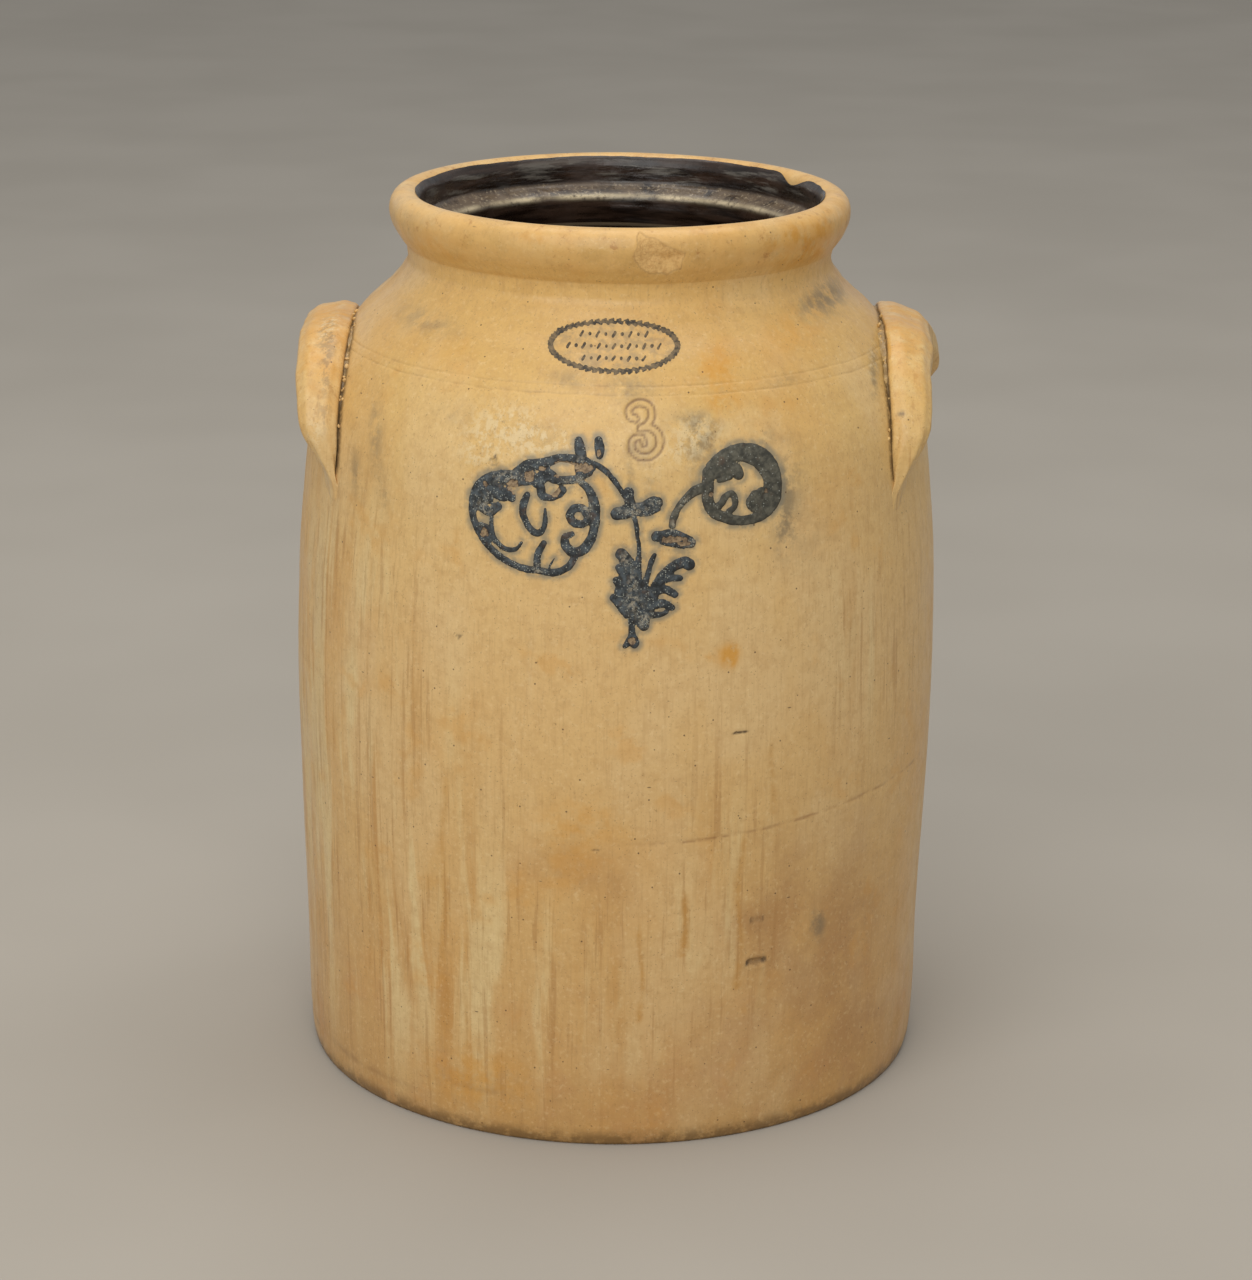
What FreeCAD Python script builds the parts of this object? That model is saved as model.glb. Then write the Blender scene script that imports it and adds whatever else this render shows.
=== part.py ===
import FreeCAD, Part
import math
import os
import Sketcher

# A three-gallon salt-glazed stoneware jar: thrown body, two strap handles pressed on to the
# shoulder, a thin brown slip lining, and cobalt decoration brushed on the front.
# The base centre is the origin, +Z is up, the decorated front faces -Y.

doc = FreeCAD.newDocument("stoneware_jar")
V = FreeCAD.Vector

# ---------------------------------------------------------------- driving dimensions (mm)

DIMENSIONS = {
    # outside of the thrown form, from the foot up
    "foot_radius": 119.4,
    "foot_bevel_radius": 120.4,
    "foot_bevel_top": 4.0,
    "lower_wall_curve": 2700.0,
    "belly_radius": 124.5,
    "belly_level": 153.0,
    "upper_wall_curve": 840.0,
    "shoulder_radius": 117.9,
    "shoulder_level": 258.4,
    "shoulder_curve": 93.0,
    "slope_radius": 97.8,
    "slope_level": 294.1,
    "neck_foot_radius": 86.0,
    "neck_foot_level": 305.0,
    "neck_curve": 10.2,
    "collar_foot_radius": 85.5,
    "collar_foot_level": 323.0,
    "collar_curve": 26.0,
    "collar_radius": 87.4,
    "collar_level": 333.0,
    "rim_round": 7.0,
    "rim_crest_radius": 81.2,
    "jar_height": 340.0,
    # inside of the thrown form, from the mouth down
    "lip_crest_radius": 78.9,
    "lip_round": 3.4,
    "mouth_radius": 75.5,
    "lip_level": 336.6,
    "ledge_level": 328.0,
    "ledge_lip_radius": 69.0,
    "ledge_lip_level": 324.4,
    "throat_level": 319.0,
    "throat_curve": 16.0,
    "throat_foot_radius": 75.0,
    "throat_foot_level": 305.0,
    "inner_slope_radius": 90.6,
    "inner_slope_level": 287.8,
    "inner_shoulder_curve": 84.0,
    "inner_shoulder_radius": 109.0,
    "inner_shoulder_level": 255.8,
    "inner_upper_curve": 830.0,
    "inner_belly_radius": 115.4,
    "inner_lower_curve": 2690.0,
    "inner_heel_radius": 112.4,
    "inner_heel_level": 26.0,
    "inner_heel_curve": 14.6,
    "floor_radius": 98.2,
    "floor_level": 12.0,
    "slip_thickness": 0.5,
    "slip_edge_level": 327.6,
    # pair of incised lines round the shoulder
    "upper_line_radius": 102.6,
    "upper_line_level": 287.2,
    "lower_line_radius": 105.0,
    "lower_line_level": 284.0,
    "line_size": 0.5,
    # capacity numeral pressed into the shoulder
    "numeral_width": 1.7,
    "numeral_depth": 0.6,
    # chip broken out of the collar
    "chip_radius": 14.0,
    "chip_across": 10.0,
    "chip_level": 329.5,
    "chip_reach": 98.4,
    # strap handles
    "handle_inner": 97.0,
    "handle_outer": 119.0,
    "handle_middle": 108.0,
    "strap_half_thickness": 7.0,
    "strap_round": 4.5,
    "arch_leg": 55.0,
    "arch_leg_top": 248.0,
    "arch_bend": 41.0,
    "crown_half": 14.0,
    "crown_level": 289.0,
    "leg_foot_level": 230.0,
    "taper_top": 270.0,
    "taper_foot_reach": 99.0,
    "taper_curve": 52.0,
    "taper_clear": 140.0,
    # brushed cobalt and the inked stamp stand a little proud of the wall
    "paint_raise": 0.7,
    "prism_clear": 10.0,
    "prism_back": 40.0,
    "stamp_half_width": 23.8,
    "stamp_half_height": 8.4,
    "stamp_band": 1.8,
    "stamp_across": -1.4,
    "stamp_level": 299.3,
    "bead_radius": 0.85,
    "bead_pitch": 3.6,
    "row_pitch": 3.7,
}

sizes = doc.addObject("Spreadsheet::Sheet", "sizes")
for row, (word, number) in enumerate(DIMENSIONS.items(), start=1):
    sizes.set(f"A{row}", word)
    sizes.set(f"B{row}", str(number))
    sizes.setAlias(f"B{row}", word)
doc.recompute()


def value(formula):
    """Number for a sum or difference of sheet words, such as 'mouth_radius - slip_thickness'."""
    total = 0.0
    for term in formula.replace("- ", "+ -").split("+"):
        word = term.strip()
        sign = -1.0 if word.startswith("-") else 1.0
        total += sign * float(sizes.get(word.lstrip("-"))) if word else 0.0
    return total


def bound(formula):
    """The same sum written as an expression on the sheet's cells."""
    terms = formula.replace("- ", "+ -").split("+")
    parts = []
    for term in terms:
        word = term.strip()
        if not word:
            continue
        sign = "-" if word.startswith("-") else "+"
        parts.append(f"{sign} sizes.{word.lstrip('-')}")
    return " ".join(parts).lstrip("+ ")


# ---------------------------------------------------------------- sketch helpers

SAME_POINT = 1e-4


def origin_plane(body, role):
    return next(feature for feature in body.Origin.OriginFeatures if feature.Role == role)


def add_sketch(body, name, role):
    sketch = body.newObject("Sketcher::SketchObject", name)
    sketch.AttachmentSupport = [(origin_plane(body, role), "")]
    sketch.MapMode = "FlatFace"
    return sketch


def pin_coordinate(sketch, geometry, end, formula, kind, axis):
    """Hold one end of a line or arc at a sheet distance from an axis."""
    if formula == "0":
        sketch.addConstraint(Sketcher.Constraint("PointOnObject", geometry, end, axis))
        return
    index = sketch.addConstraint(Sketcher.Constraint(kind, geometry, end, value(formula)))
    sketch.setExpression(f"Constraints[{index}]", bound(formula))


def draw_outline(sketch, path, closed=True):
    """Outline through (across, up) points; a point reached by an arc adds a radius and a turn.

    The turn is +1 for an arc that bends left on the way to its point and -1 for one that bends right.
    """
    corners = [V(*[0.0 if word == "0" else value(word) for word in step[:2]], 0) for step in path]
    last_end = None
    first = None
    for number in range(0 if closed else 1, len(path)):
        start = corners[number - 1]
        end = corners[number]
        if len(path[number]) == 4:
            radius = value(path[number][2])
            chord = end - start
            sagitta = radius - math.sqrt(radius ** 2 - (chord.Length / 2) ** 2)
            outward = V(chord.y, -chord.x, 0).normalize() * path[number][3]
            curve = Part.Arc(start, (start + end) / 2 + outward * sagitta, end)
        else:
            curve = Part.LineSegment(start, end)
        index = sketch.addGeometry(curve, False)
        start_pos = 1 if (sketch.getPoint(index, 1) - start).Length < SAME_POINT else 2
        end_pos = 3 - start_pos
        if last_end:
            sketch.addConstraint(Sketcher.Constraint("Coincident", *last_end, index, start_pos))
        else:
            first = (index, start_pos)
            if not closed:
                pin_coordinate(sketch, index, start_pos, path[0][0], "DistanceX", -2)
                pin_coordinate(sketch, index, start_pos, path[0][1], "DistanceY", -1)
        if len(path[number]) == 4:
            held = sketch.addConstraint(Sketcher.Constraint("Radius", index, value(path[number][2])))
            sketch.setExpression(f"Constraints[{held}]", bound(path[number][2]))
        pin_coordinate(sketch, index, end_pos, path[number][0], "DistanceX", -2)
        pin_coordinate(sketch, index, end_pos, path[number][1], "DistanceY", -1)
        last_end = (index, end_pos)
    if closed:
        sketch.addConstraint(Sketcher.Constraint("Coincident", *last_end, *first))


def turn_profile(body, name, path, feature):
    """Add a Revolution or Groove of an outline about the jar's axis."""
    sketch = add_sketch(body, f"{name}_outline", "XZ_Plane")
    draw_outline(sketch, path)
    turned = body.newObject(f"PartDesign::{feature}", name)
    turned.Profile = sketch
    turned.ReferenceAxis = (sketch, ["V_Axis"])
    turned.Angle = 360
    sketch.Visibility = False
    doc.recompute()
    return turned


def moved(word, shift):
    return f"{word} {shift}" if shift else word


def outside_path(shift=""):
    """Outer wall, closed through the axis; the shift is added to every radius."""
    return [
        ("0", "0"),
        (moved("foot_radius", shift), "0"),
        (moved("foot_bevel_radius", shift), "foot_bevel_top"),
        (moved("belly_radius", shift), "belly_level", "lower_wall_curve", 1),
        (moved("shoulder_radius", shift), "shoulder_level", "upper_wall_curve", 1),
        (moved("slope_radius", shift), "slope_level", "shoulder_curve", 1),
        (moved("neck_foot_radius", shift), "neck_foot_level"),
        (moved("collar_foot_radius", shift), "collar_foot_level", "neck_curve", -1),
        (moved("collar_radius", shift), "collar_level", "collar_curve", 1),
        (moved("rim_crest_radius", shift), "jar_height", "rim_round", 1),
        ("0", "jar_height"),
    ]


def inside_path(inset=""):
    """Inner wall below the lip, closed through the axis; the inset thins it all round."""
    lift = inset.replace("-", "+")
    return [
        ("0", "lip_level"),
        ("0", moved("floor_level", lift)),
        (moved("floor_radius", inset), moved("floor_level", lift)),
        (moved("inner_heel_radius", inset), "inner_heel_level", "inner_heel_curve", 1),
        (moved("inner_belly_radius", inset), "belly_level", "inner_lower_curve", 1),
        (moved("inner_shoulder_radius", inset), "inner_shoulder_level", "inner_upper_curve", 1),
        (moved("inner_slope_radius", inset), "inner_slope_level", "inner_shoulder_curve", 1),
        (moved("throat_foot_radius", inset), "throat_foot_level"),
        (moved("ledge_lip_radius", inset), "throat_level", "throat_curve", -1),
        (moved("ledge_lip_radius", inset), moved("ledge_lip_level", lift)),
        (moved("mouth_radius", inset), moved("ledge_level", lift)),
        (moved("mouth_radius", inset), "lip_level"),
    ]


def wiped_path():
    """Everything above the edge of the slip, which stops on the ledge and leaves the lid seat bare."""
    return [
        ("0", "slip_edge_level"),
        ("belly_radius", "slip_edge_level"),
        ("belly_radius", "jar_height"),
        ("0", "jar_height"),
    ]


def lip_path():
    """Ring above the lip level that opens the mouth with a rounded inner edge."""
    return [
        ("0", "lip_level"),
        ("mouth_radius", "lip_level"),
        ("lip_crest_radius", "jar_height", "lip_round", -1),
        ("0", "jar_height"),
    ]


# ---------------------------------------------------------------- thrown jar body

outside_form = doc.addObject("PartDesign::Body", "outside_form")
turn_profile(outside_form, "outside_turned", outside_path(), "Revolution")

raised_form = doc.addObject("PartDesign::Body", "raised_form")
turn_profile(raised_form, "raised_turned", outside_path("+ paint_raise"), "Revolution")

lowered_form = doc.addObject("PartDesign::Body", "lowered_form")
turn_profile(lowered_form, "lowered_turned", outside_path("- numeral_depth"), "Revolution")

thrown_wall = doc.addObject("PartDesign::Body", "thrown_wall")
turn_profile(thrown_wall, "wall_turned", outside_path(), "Revolution")
turn_profile(thrown_wall, "inside_hollowed", inside_path(), "Groove")
turn_profile(thrown_wall, "mouth_opened", lip_path(), "Groove")


def incise_line(body, name, radius, level):
    """A fine line cut into the turning pot with a pointed tool."""
    sketch = add_sketch(body, f"{name}_outline", "XZ_Plane")
    dot = sketch.addGeometry(Part.Circle(V(value(radius), value(level), 0), V(0, 0, 1), value("line_size")))
    held = sketch.addConstraint(Sketcher.Constraint("Radius", dot, value("line_size")))
    sketch.setExpression(f"Constraints[{held}]", bound("line_size"))
    pin_coordinate(sketch, dot, 3, radius, "DistanceX", -2)
    pin_coordinate(sketch, dot, 3, level, "DistanceY", -1)
    groove = body.newObject("PartDesign::Groove", name)
    groove.Profile = sketch
    groove.ReferenceAxis = (sketch, ["V_Axis"])
    groove.Angle = 360
    sketch.Visibility = False
    doc.recompute()


incise_line(thrown_wall, "upper_line", "upper_line_radius", "upper_line_level")
incise_line(thrown_wall, "lower_line", "lower_line_radius", "lower_line_level")


# ---------------------------------------------------------------- brush strokes on the front

def front_prism(face):
    """Front-elevation face (drawn in X and Z) carried through the front half of the jar."""
    reach = value("belly_radius + prism_clear")
    face.translate(V(0, -reach, 0))
    return face.extrude(V(0, reach - value("prism_back"), 0))


def point(pair):
    return V(pair[0], 0, pair[1])


def arc_stroke(start, through, end, width):
    """Round-ended brush stroke that follows the arc through three front-elevation points."""
    a, m, b = point(start), point(through), point(end)
    spine = Part.Arc(a, m, b).toShape().Curve
    centre = spine.Center
    half = width / 2
    grow = (spine.Radius + half) / spine.Radius
    shrink = (spine.Radius - half) / spine.Radius
    ends = []
    for tip in (b, a):
        radial = (tip - centre).normalize()
        along = V(-radial.z, 0, radial.x)
        ends.append(tip + along * math.copysign(half, along.dot(tip - m)))
    outer = [centre + (p - centre) * grow for p in (a, m, b)]
    inner = [centre + (p - centre) * shrink for p in (a, m, b)]
    edges = [
        Part.Arc(*outer).toShape(),
        Part.Arc(outer[2], ends[0], inner[2]).toShape(),
        Part.Arc(inner[2], inner[1], inner[0]).toShape(),
        Part.Arc(inner[0], ends[1], outer[0]).toShape(),
    ]
    return front_prism(Part.Face(Part.Wire(edges)))


def lobe(centre, across, up):
    """Rounded petal or bud, wider or taller than round."""
    tall = up > across
    major = V(0, 0, 1) if tall else V(1, 0, 0)
    minor = V(1, 0, 0) if tall else V(0, 0, 1)
    middle = point(centre)
    ellipse = Part.Ellipse(middle + major * max(across, up), middle + minor * min(across, up), middle)
    return front_prism(Part.Face(Part.Wire([ellipse.toShape()])))


def painted(label, prisms):
    """Thin raised coat where the prisms meet the outer wall."""
    joined = prisms[0].multiFuse(prisms[1:]) if len(prisms) > 1 else prisms[0]
    coat = joined.common(raised_form.Shape).cut(outside_form.Shape)
    feature = doc.addObject("Part::Feature", label)
    feature.Label = label
    feature.Shape = coat
    return feature


large_bloom = painted("cobalt_large_bloom", [
    arc_stroke((-36.0, 256.0), (-49.0, 242.0), (-27.0, 221.0), 4.0),
    arc_stroke((-27.0, 221.0), (-17.0, 222.5), (-12.5, 230.5), 3.0),
    arc_stroke((-13.0, 257.0), (-7.5, 243.0), (-15.5, 230.5), 4.0),
    arc_stroke((-44.0, 250.0), (-40.0, 249.5), (-36.5, 252.0), 8.0),
    arc_stroke((-34.0, 254.0), (-24.0, 259.5), (-12.0, 261.5), 7.0),
    arc_stroke((-25.0, 252.0), (-22.0, 250.5), (-19.0, 252.5), 4.6),
    arc_stroke((-32.0, 249.0), (-32.0, 241.0), (-27.5, 237.0), 3.0),
    arc_stroke((-27.5, 237.0), (-25.4, 239.6), (-25.0, 245.0), 1.8),
    arc_stroke((-15.8, 243.4), (-13.2, 245.9), (-10.6, 243.4), 2.6),
    arc_stroke((-15.8, 243.4), (-13.2, 240.9), (-10.6, 243.4), 2.6),
    arc_stroke((-14.6, 237.0), (-18.0, 233.5), (-15.0, 230.5), 2.8),
    arc_stroke((-43.4, 238.0), (-41.0, 228.5), (-33.0, 229.5), 1.8),
    arc_stroke((-26.8, 221.0), (-27.0, 227.5), (-24.8, 231.5), 2.6),
])
buds = painted("cobalt_buds", [
    lobe((-13.0, 268.0), 2.1, 3.2),
    lobe((-6.2, 267.4), 2.1, 3.8),
])
left_stem = painted("cobalt_left_stem", [
    arc_stroke((-8.0, 262.6), (-1.6, 258.0), (3.0, 251.6), 2.0),
])
main_stem = painted("cobalt_main_stem", [
    arc_stroke((6.6, 243.4), (8.0, 238.0), (8.6, 231.5), 1.7),
])
right_stem = painted("cobalt_right_stem", [
    arc_stroke((30.0, 253.6), (24.0, 248.8), (20.6, 241.0), 3.0),
])
left_blossom = painted("cobalt_left_blossom", [
    lobe((4.8, 251.2), 2.4, 2.6),
    lobe((1.2, 245.0), 3.4, 2.7),
    lobe((7.0, 246.4), 4.4, 2.8),
    lobe((13.4, 248.0), 3.6, 2.6),
])
right_blossom = painted("cobalt_right_blossom", [
    lobe((15.0, 236.4), 2.4, 2.3),
    lobe((20.6, 236.6), 5.4, 2.7),
    lobe((26.2, 234.2), 2.6, 2.7),
])
leaf_spray = painted("cobalt_leaf_spray", [
    lobe((2.8, 229.8), 3.0, 2.9),
    arc_stroke((6.0, 226.6), (5.0, 218.0), (6.0, 209.4), 8.6),
    lobe((1.6, 224.0), 2.6, 3.0),
    lobe((0.8, 218.8), 2.8, 3.0),
    lobe((1.6, 213.4), 3.4, 3.2),
    arc_stroke((10.6, 213.0), (11.2, 222.0), (13.8, 229.6), 2.0),
    arc_stroke((13.0, 211.0), (15.6, 221.0), (25.6, 226.4), 4.8),
    arc_stroke((16.0, 220.0), (19.8, 220.6), (23.2, 220.8), 2.6),
    arc_stroke((15.0, 216.0), (18.6, 216.4), (21.4, 215.2), 2.8),
    arc_stroke((14.0, 211.0), (17.4, 211.4), (20.4, 210.2), 2.8),
    lobe((10.2, 207.6), 3.4, 4.4),
    arc_stroke((6.0, 210.0), (6.2, 204.0), (6.2, 199.0), 2.8),
    lobe((6.2, 198.8), 2.8, 2.2),
])
small_bloom = painted("cobalt_small_bloom", [
    arc_stroke((32.4, 252.0), (37.6, 264.0), (50.0, 264.6), 6.0),
    arc_stroke((50.0, 264.6), (56.0, 252.6), (46.0, 242.2), 4.6),
    arc_stroke((46.0, 242.2), (36.0, 244.4), (32.4, 252.0), 4.0),
    arc_stroke((34.0, 256.6), (39.6, 258.6), (44.0, 257.6), 5.0),
    arc_stroke((38.2, 245.8), (42.6, 247.4), (40.2, 251.2), 2.2),
    lobe((49.6, 247.4), 3.4, 3.6),
])


# ---------------------------------------------------------------- oval stamp

def oval_face(inset):
    middle = V(value("stamp_across"), 0, value("stamp_level"))
    long_end = middle + V(value("stamp_half_width") - inset, 0, 0)
    short_end = middle + V(0, 0, value("stamp_half_height") - inset)
    return Part.Face(Part.Wire([Part.Ellipse(long_end, short_end, middle).toShape()]))


def bead_rows(counts):
    """Rows of round beads that fill the oval, from the top row down."""
    beads = []
    for row, count in enumerate(counts):
        level = value("stamp_level") + (1 - row) * value("row_pitch")
        for number in range(count):
            across = value("stamp_across") + (number - (count - 1) / 2) * value("bead_pitch")
            circle = Part.Circle(V(across, 0, level), V(0, 1, 0), value("bead_radius"))
            beads.append(front_prism(Part.Face(Part.Wire([circle.toShape()]))))
    return beads


BEADS_PER_ROW = (7, 10, 7)
border = painted("stamp_oval_border", [front_prism(oval_face(0).cut(oval_face(value("stamp_band"))))])
beads = painted("stamp_bead_rows", bead_rows(BEADS_PER_ROW))


# ---------------------------------------------------------------- numeral and chip, cut from the wall

numeral_sinking = doc.addObject("Part::Feature", "numeral_sinking")
upper_bowl = arc_stroke((4.4, 277.6), (11.8, 277.4), (9.0, 273.6), value("numeral_width"))
lower_bowl = arc_stroke((9.0, 273.6), (15.4, 269.4), (5.0, 267.0), value("numeral_width"))
numeral_sinking.Shape = upper_bowl.fuse(lower_bowl).common(raised_form.Shape).cut(lowered_form.Shape)

chip = doc.addObject("Part::Sphere", "rim_chip")
chip.setExpression("Radius", "sizes.chip_radius")
chip.setExpression("Placement.Base.x", "sizes.chip_across")
chip.setExpression("Placement.Base.y", "-sizes.chip_reach")
chip.setExpression("Placement.Base.z", "sizes.chip_level")

numbered_wall = doc.addObject("Part::Cut", "numbered_wall")
numbered_wall.Base = thrown_wall
numbered_wall.Tool = numeral_sinking

jar_body = doc.addObject("Part::Cut", "jar_body")
jar_body.Label = "jar_body"
jar_body.Base = numbered_wall
jar_body.Tool = chip
doc.recompute()


# ---------------------------------------------------------------- slip lining

slip_lining = doc.addObject("PartDesign::Body", "slip_lining")
slip_lining.Label = "slip_lining"
turn_profile(slip_lining, "slip_poured", inside_path(), "Revolution")
turn_profile(slip_lining, "slip_drained", inside_path("- slip_thickness"), "Groove")
turn_profile(slip_lining, "slip_wiped", wiped_path(), "Groove")


# ---------------------------------------------------------------- strap handles

def arch_path():
    """Side view of the strap's centre line: up one leg, over the crown and down the other leg."""
    return [
        ("- arch_leg", "leg_foot_level"),
        ("- arch_leg", "arch_leg_top"),
        ("- crown_half", "crown_level", "arch_bend", -1),
        ("crown_half", "crown_level"),
        ("arch_leg", "arch_leg_top", "arch_bend", -1),
        ("arch_leg", "leg_foot_level"),
    ]


def strap_section(side):
    """Rounded oblong across the first leg, seen from above."""
    near, far = ("handle_inner", "handle_outer") if side > 0 else ("- handle_outer", "- handle_inner")
    front = "- arch_leg - strap_half_thickness"
    back = "strap_half_thickness - arch_leg"
    return [
        (f"{far} - strap_round", front),
        (far, f"{front} + strap_round", "strap_round", 1),
        (far, f"{back} - strap_round"),
        (f"{far} - strap_round", back, "strap_round", 1),
        (f"{near} + strap_round", back),
        (near, f"{back} - strap_round", "strap_round", 1),
        (near, f"{front} + strap_round"),
        (f"{near} + strap_round", front, "strap_round", 1),
    ]


def taper_path(side):
    """Front view of what is cut away so that the legs run out into the wall."""
    if side > 0:
        return [
            ("taper_clear", "leg_foot_level"),
            ("taper_clear", "taper_top"),
            ("handle_outer", "taper_top"),
            ("taper_foot_reach", "leg_foot_level", "taper_curve", -1),
        ]
    return [
        ("- taper_clear", "taper_top"),
        ("- taper_clear", "leg_foot_level"),
        ("- taper_foot_reach", "leg_foot_level"),
        ("- handle_outer", "taper_top", "taper_curve", -1),
    ]


MOST_LEFT_BY_TAPER = 0.99


def build_handle(label, side):
    strap = doc.addObject("PartDesign::Body", f"{label}_strap")
    arch = add_sketch(strap, f"{label}_arch", "YZ_Plane")
    draw_outline(arch, arch_path(), closed=False)
    middle = "sizes.handle_middle" if side > 0 else "-sizes.handle_middle"
    arch.setExpression("AttachmentOffset.Base.z", middle)
    section = add_sketch(strap, f"{label}_section", "XY_Plane")
    draw_outline(section, strap_section(side))
    section.setExpression("AttachmentOffset.Base.z", "sizes.leg_foot_level")
    doc.recompute()
    pipe = strap.newObject("PartDesign::AdditivePipe", f"{label}_pulled")
    pipe.Profile = section
    pipe.Spine = arch
    doc.recompute()

    taper = add_sketch(strap, f"{label}_taper", "XZ_Plane")
    draw_outline(taper, taper_path(side))
    pocket = strap.newObject("PartDesign::Pocket", f"{label}_tapered")
    pocket.Profile = taper
    pocket.Type = "ThroughAll"
    pocket.Midplane = True
    doc.recompute()
    if pocket.Shape.Volume > MOST_LEFT_BY_TAPER * pipe.Shape.Volume:
        raise RuntimeError(f"{label}: the taper cut nothing")
    for sketch in (arch, section, taper):
        sketch.Visibility = False

    handle = doc.addObject("Part::Cut", label)
    handle.Label = label
    handle.Base = strap
    handle.Tool = outside_form
    doc.recompute()
    return handle


handle_right = build_handle("handle_right", 1)
handle_left = build_handle("handle_left", -1)

# ---------------------------------------------------------------- checks and export

PIECES = [
    jar_body, handle_left, handle_right, slip_lining,
    large_bloom, small_bloom, buds, left_stem, main_stem, right_stem,
    left_blossom, right_blossom, leaf_spray, border, beads,
]
doc.recompute()

for item in doc.Objects:
    if "Invalid" in item.State or "Error" in item.State:
        raise RuntimeError(f"{item.Name}: {item.State}")
for piece in PIECES:
    if piece.Shape.isNull() or not piece.Shape.isValid() or not piece.Shape.Solids:
        raise RuntimeError(f"{piece.Label}: shape is empty or invalid")

os.makedirs("parts", exist_ok=True)
for piece in PIECES:
    piece.Shape.exportStep(f"parts/{piece.Label}.step")
    box = piece.Shape.BoundBox
    print(f"{piece.Label:24s} solids {len(piece.Shape.Solids):2d}  volume {piece.Shape.Volume:12.1f}  "
          f"x {box.XMin:.1f}..{box.XMax:.1f}  y {box.YMin:.1f}..{box.YMax:.1f}  z {box.ZMin:.1f}..{box.ZMax:.1f}")
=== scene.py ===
import math

import bmesh
import bpy
import numpy as np
from mathutils import Matrix, Vector, kdtree


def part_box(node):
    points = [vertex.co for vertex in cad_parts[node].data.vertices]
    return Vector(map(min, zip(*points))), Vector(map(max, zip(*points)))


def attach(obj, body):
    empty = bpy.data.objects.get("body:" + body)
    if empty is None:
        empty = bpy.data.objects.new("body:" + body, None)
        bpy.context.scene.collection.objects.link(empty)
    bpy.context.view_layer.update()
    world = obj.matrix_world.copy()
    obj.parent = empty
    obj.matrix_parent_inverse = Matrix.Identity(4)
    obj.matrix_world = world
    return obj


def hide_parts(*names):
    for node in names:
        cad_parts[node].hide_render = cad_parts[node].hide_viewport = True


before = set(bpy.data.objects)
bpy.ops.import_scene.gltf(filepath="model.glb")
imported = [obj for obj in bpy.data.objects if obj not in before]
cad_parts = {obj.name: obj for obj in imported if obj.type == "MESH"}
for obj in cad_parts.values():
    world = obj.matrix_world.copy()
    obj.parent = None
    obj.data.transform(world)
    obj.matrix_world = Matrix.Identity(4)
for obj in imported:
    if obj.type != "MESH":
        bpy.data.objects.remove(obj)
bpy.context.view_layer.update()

# A salt-glazed stoneware jar with cobalt decoration. Sizes below are in millimetres of the design
# and become metres through MM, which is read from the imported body's height.

JAR_HEIGHT = 340.0
jar_low, jar_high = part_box("jar_body")
MM = (jar_high[2] - jar_low[2]) / JAR_HEIGHT


# ---- curves and noise

def monotone(knots, values):
    """Smooth curve through the points that never overshoots them (Fritsch-Carlson)."""
    knots = np.array(knots, float)
    values = np.array(values, float)
    gap = np.diff(knots)
    slope = np.diff(values) / gap
    tangent = np.zeros(len(knots))
    tangent[0] = slope[0]
    tangent[-1] = slope[-1]
    for i in range(1, len(knots) - 1):
        if slope[i - 1] * slope[i] > 0:
            near = 2 * gap[i] + gap[i - 1]
            far = gap[i] + 2 * gap[i - 1]
            tangent[i] = (near + far) / (near / slope[i - 1] + far / slope[i])

    def curve(at):
        at = np.clip(np.asarray(at, float), knots[0], knots[-1])
        i = np.clip(np.searchsorted(knots, at, side="right") - 1, 0, len(gap) - 1)
        t = (at - knots[i]) / gap[i]
        return (
            values[i] * (1 + 2 * t) * (1 - t) ** 2
            + gap[i] * tangent[i] * t * (1 - t) ** 2
            + values[i + 1] * t ** 2 * (3 - 2 * t)
            - gap[i] * tangent[i + 1] * t ** 2 * (1 - t)
        )

    return curve


def flow(points, step):
    """Catmull-Rom curve through the points, sampled about every step."""
    points = np.array(points, float)
    ends = np.vstack([2 * points[0] - points[1], points, 2 * points[-1] - points[-2]])
    samples = []
    for i in range(1, len(ends) - 2):
        count = max(2, int(math.ceil(np.linalg.norm(ends[i + 1][:2] - ends[i][:2]) / step)))
        for t in np.arange(count) / count:
            samples.append(0.5 * (
                2 * ends[i]
                + (ends[i + 1] - ends[i - 1]) * t
                + (2 * ends[i - 1] - 5 * ends[i] + 4 * ends[i + 1] - ends[i + 2]) * t ** 2
                + (3 * ends[i] - ends[i - 1] - 3 * ends[i + 1] + ends[i + 2]) * t ** 3
            ))
    samples.append(points[-1])
    return np.array(samples)


def drift(seed, places, wavelength, flatten=1.0, waves=14):
    """Gentle random relief, about -1 to 1, over points in space; flatten below 1 stretches it round the pot.

    Each use has a seed of its own, so that no two reliefs line up."""
    rng = np.random.RandomState(seed)
    total = np.zeros(places.shape[:-1])
    for _ in range(waves):
        heading = rng.normal(size=3)
        heading /= np.linalg.norm(heading)
        heading *= (flatten, flatten, 1.0)
        pace = 2 * math.pi / (wavelength * rng.uniform(0.7, 1.5))
        total += np.sin(places @ (heading * pace) + rng.uniform(0, 2 * math.pi))
    return total * 1.6 / waves


def rise(value, low, high):
    """0 below low, 1 above high, smooth between; low may be the larger."""
    t = np.clip((value - low) / (high - low), 0, 1)
    return t * t * (3 - 2 * t)


# ---- form of the jar

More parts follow.
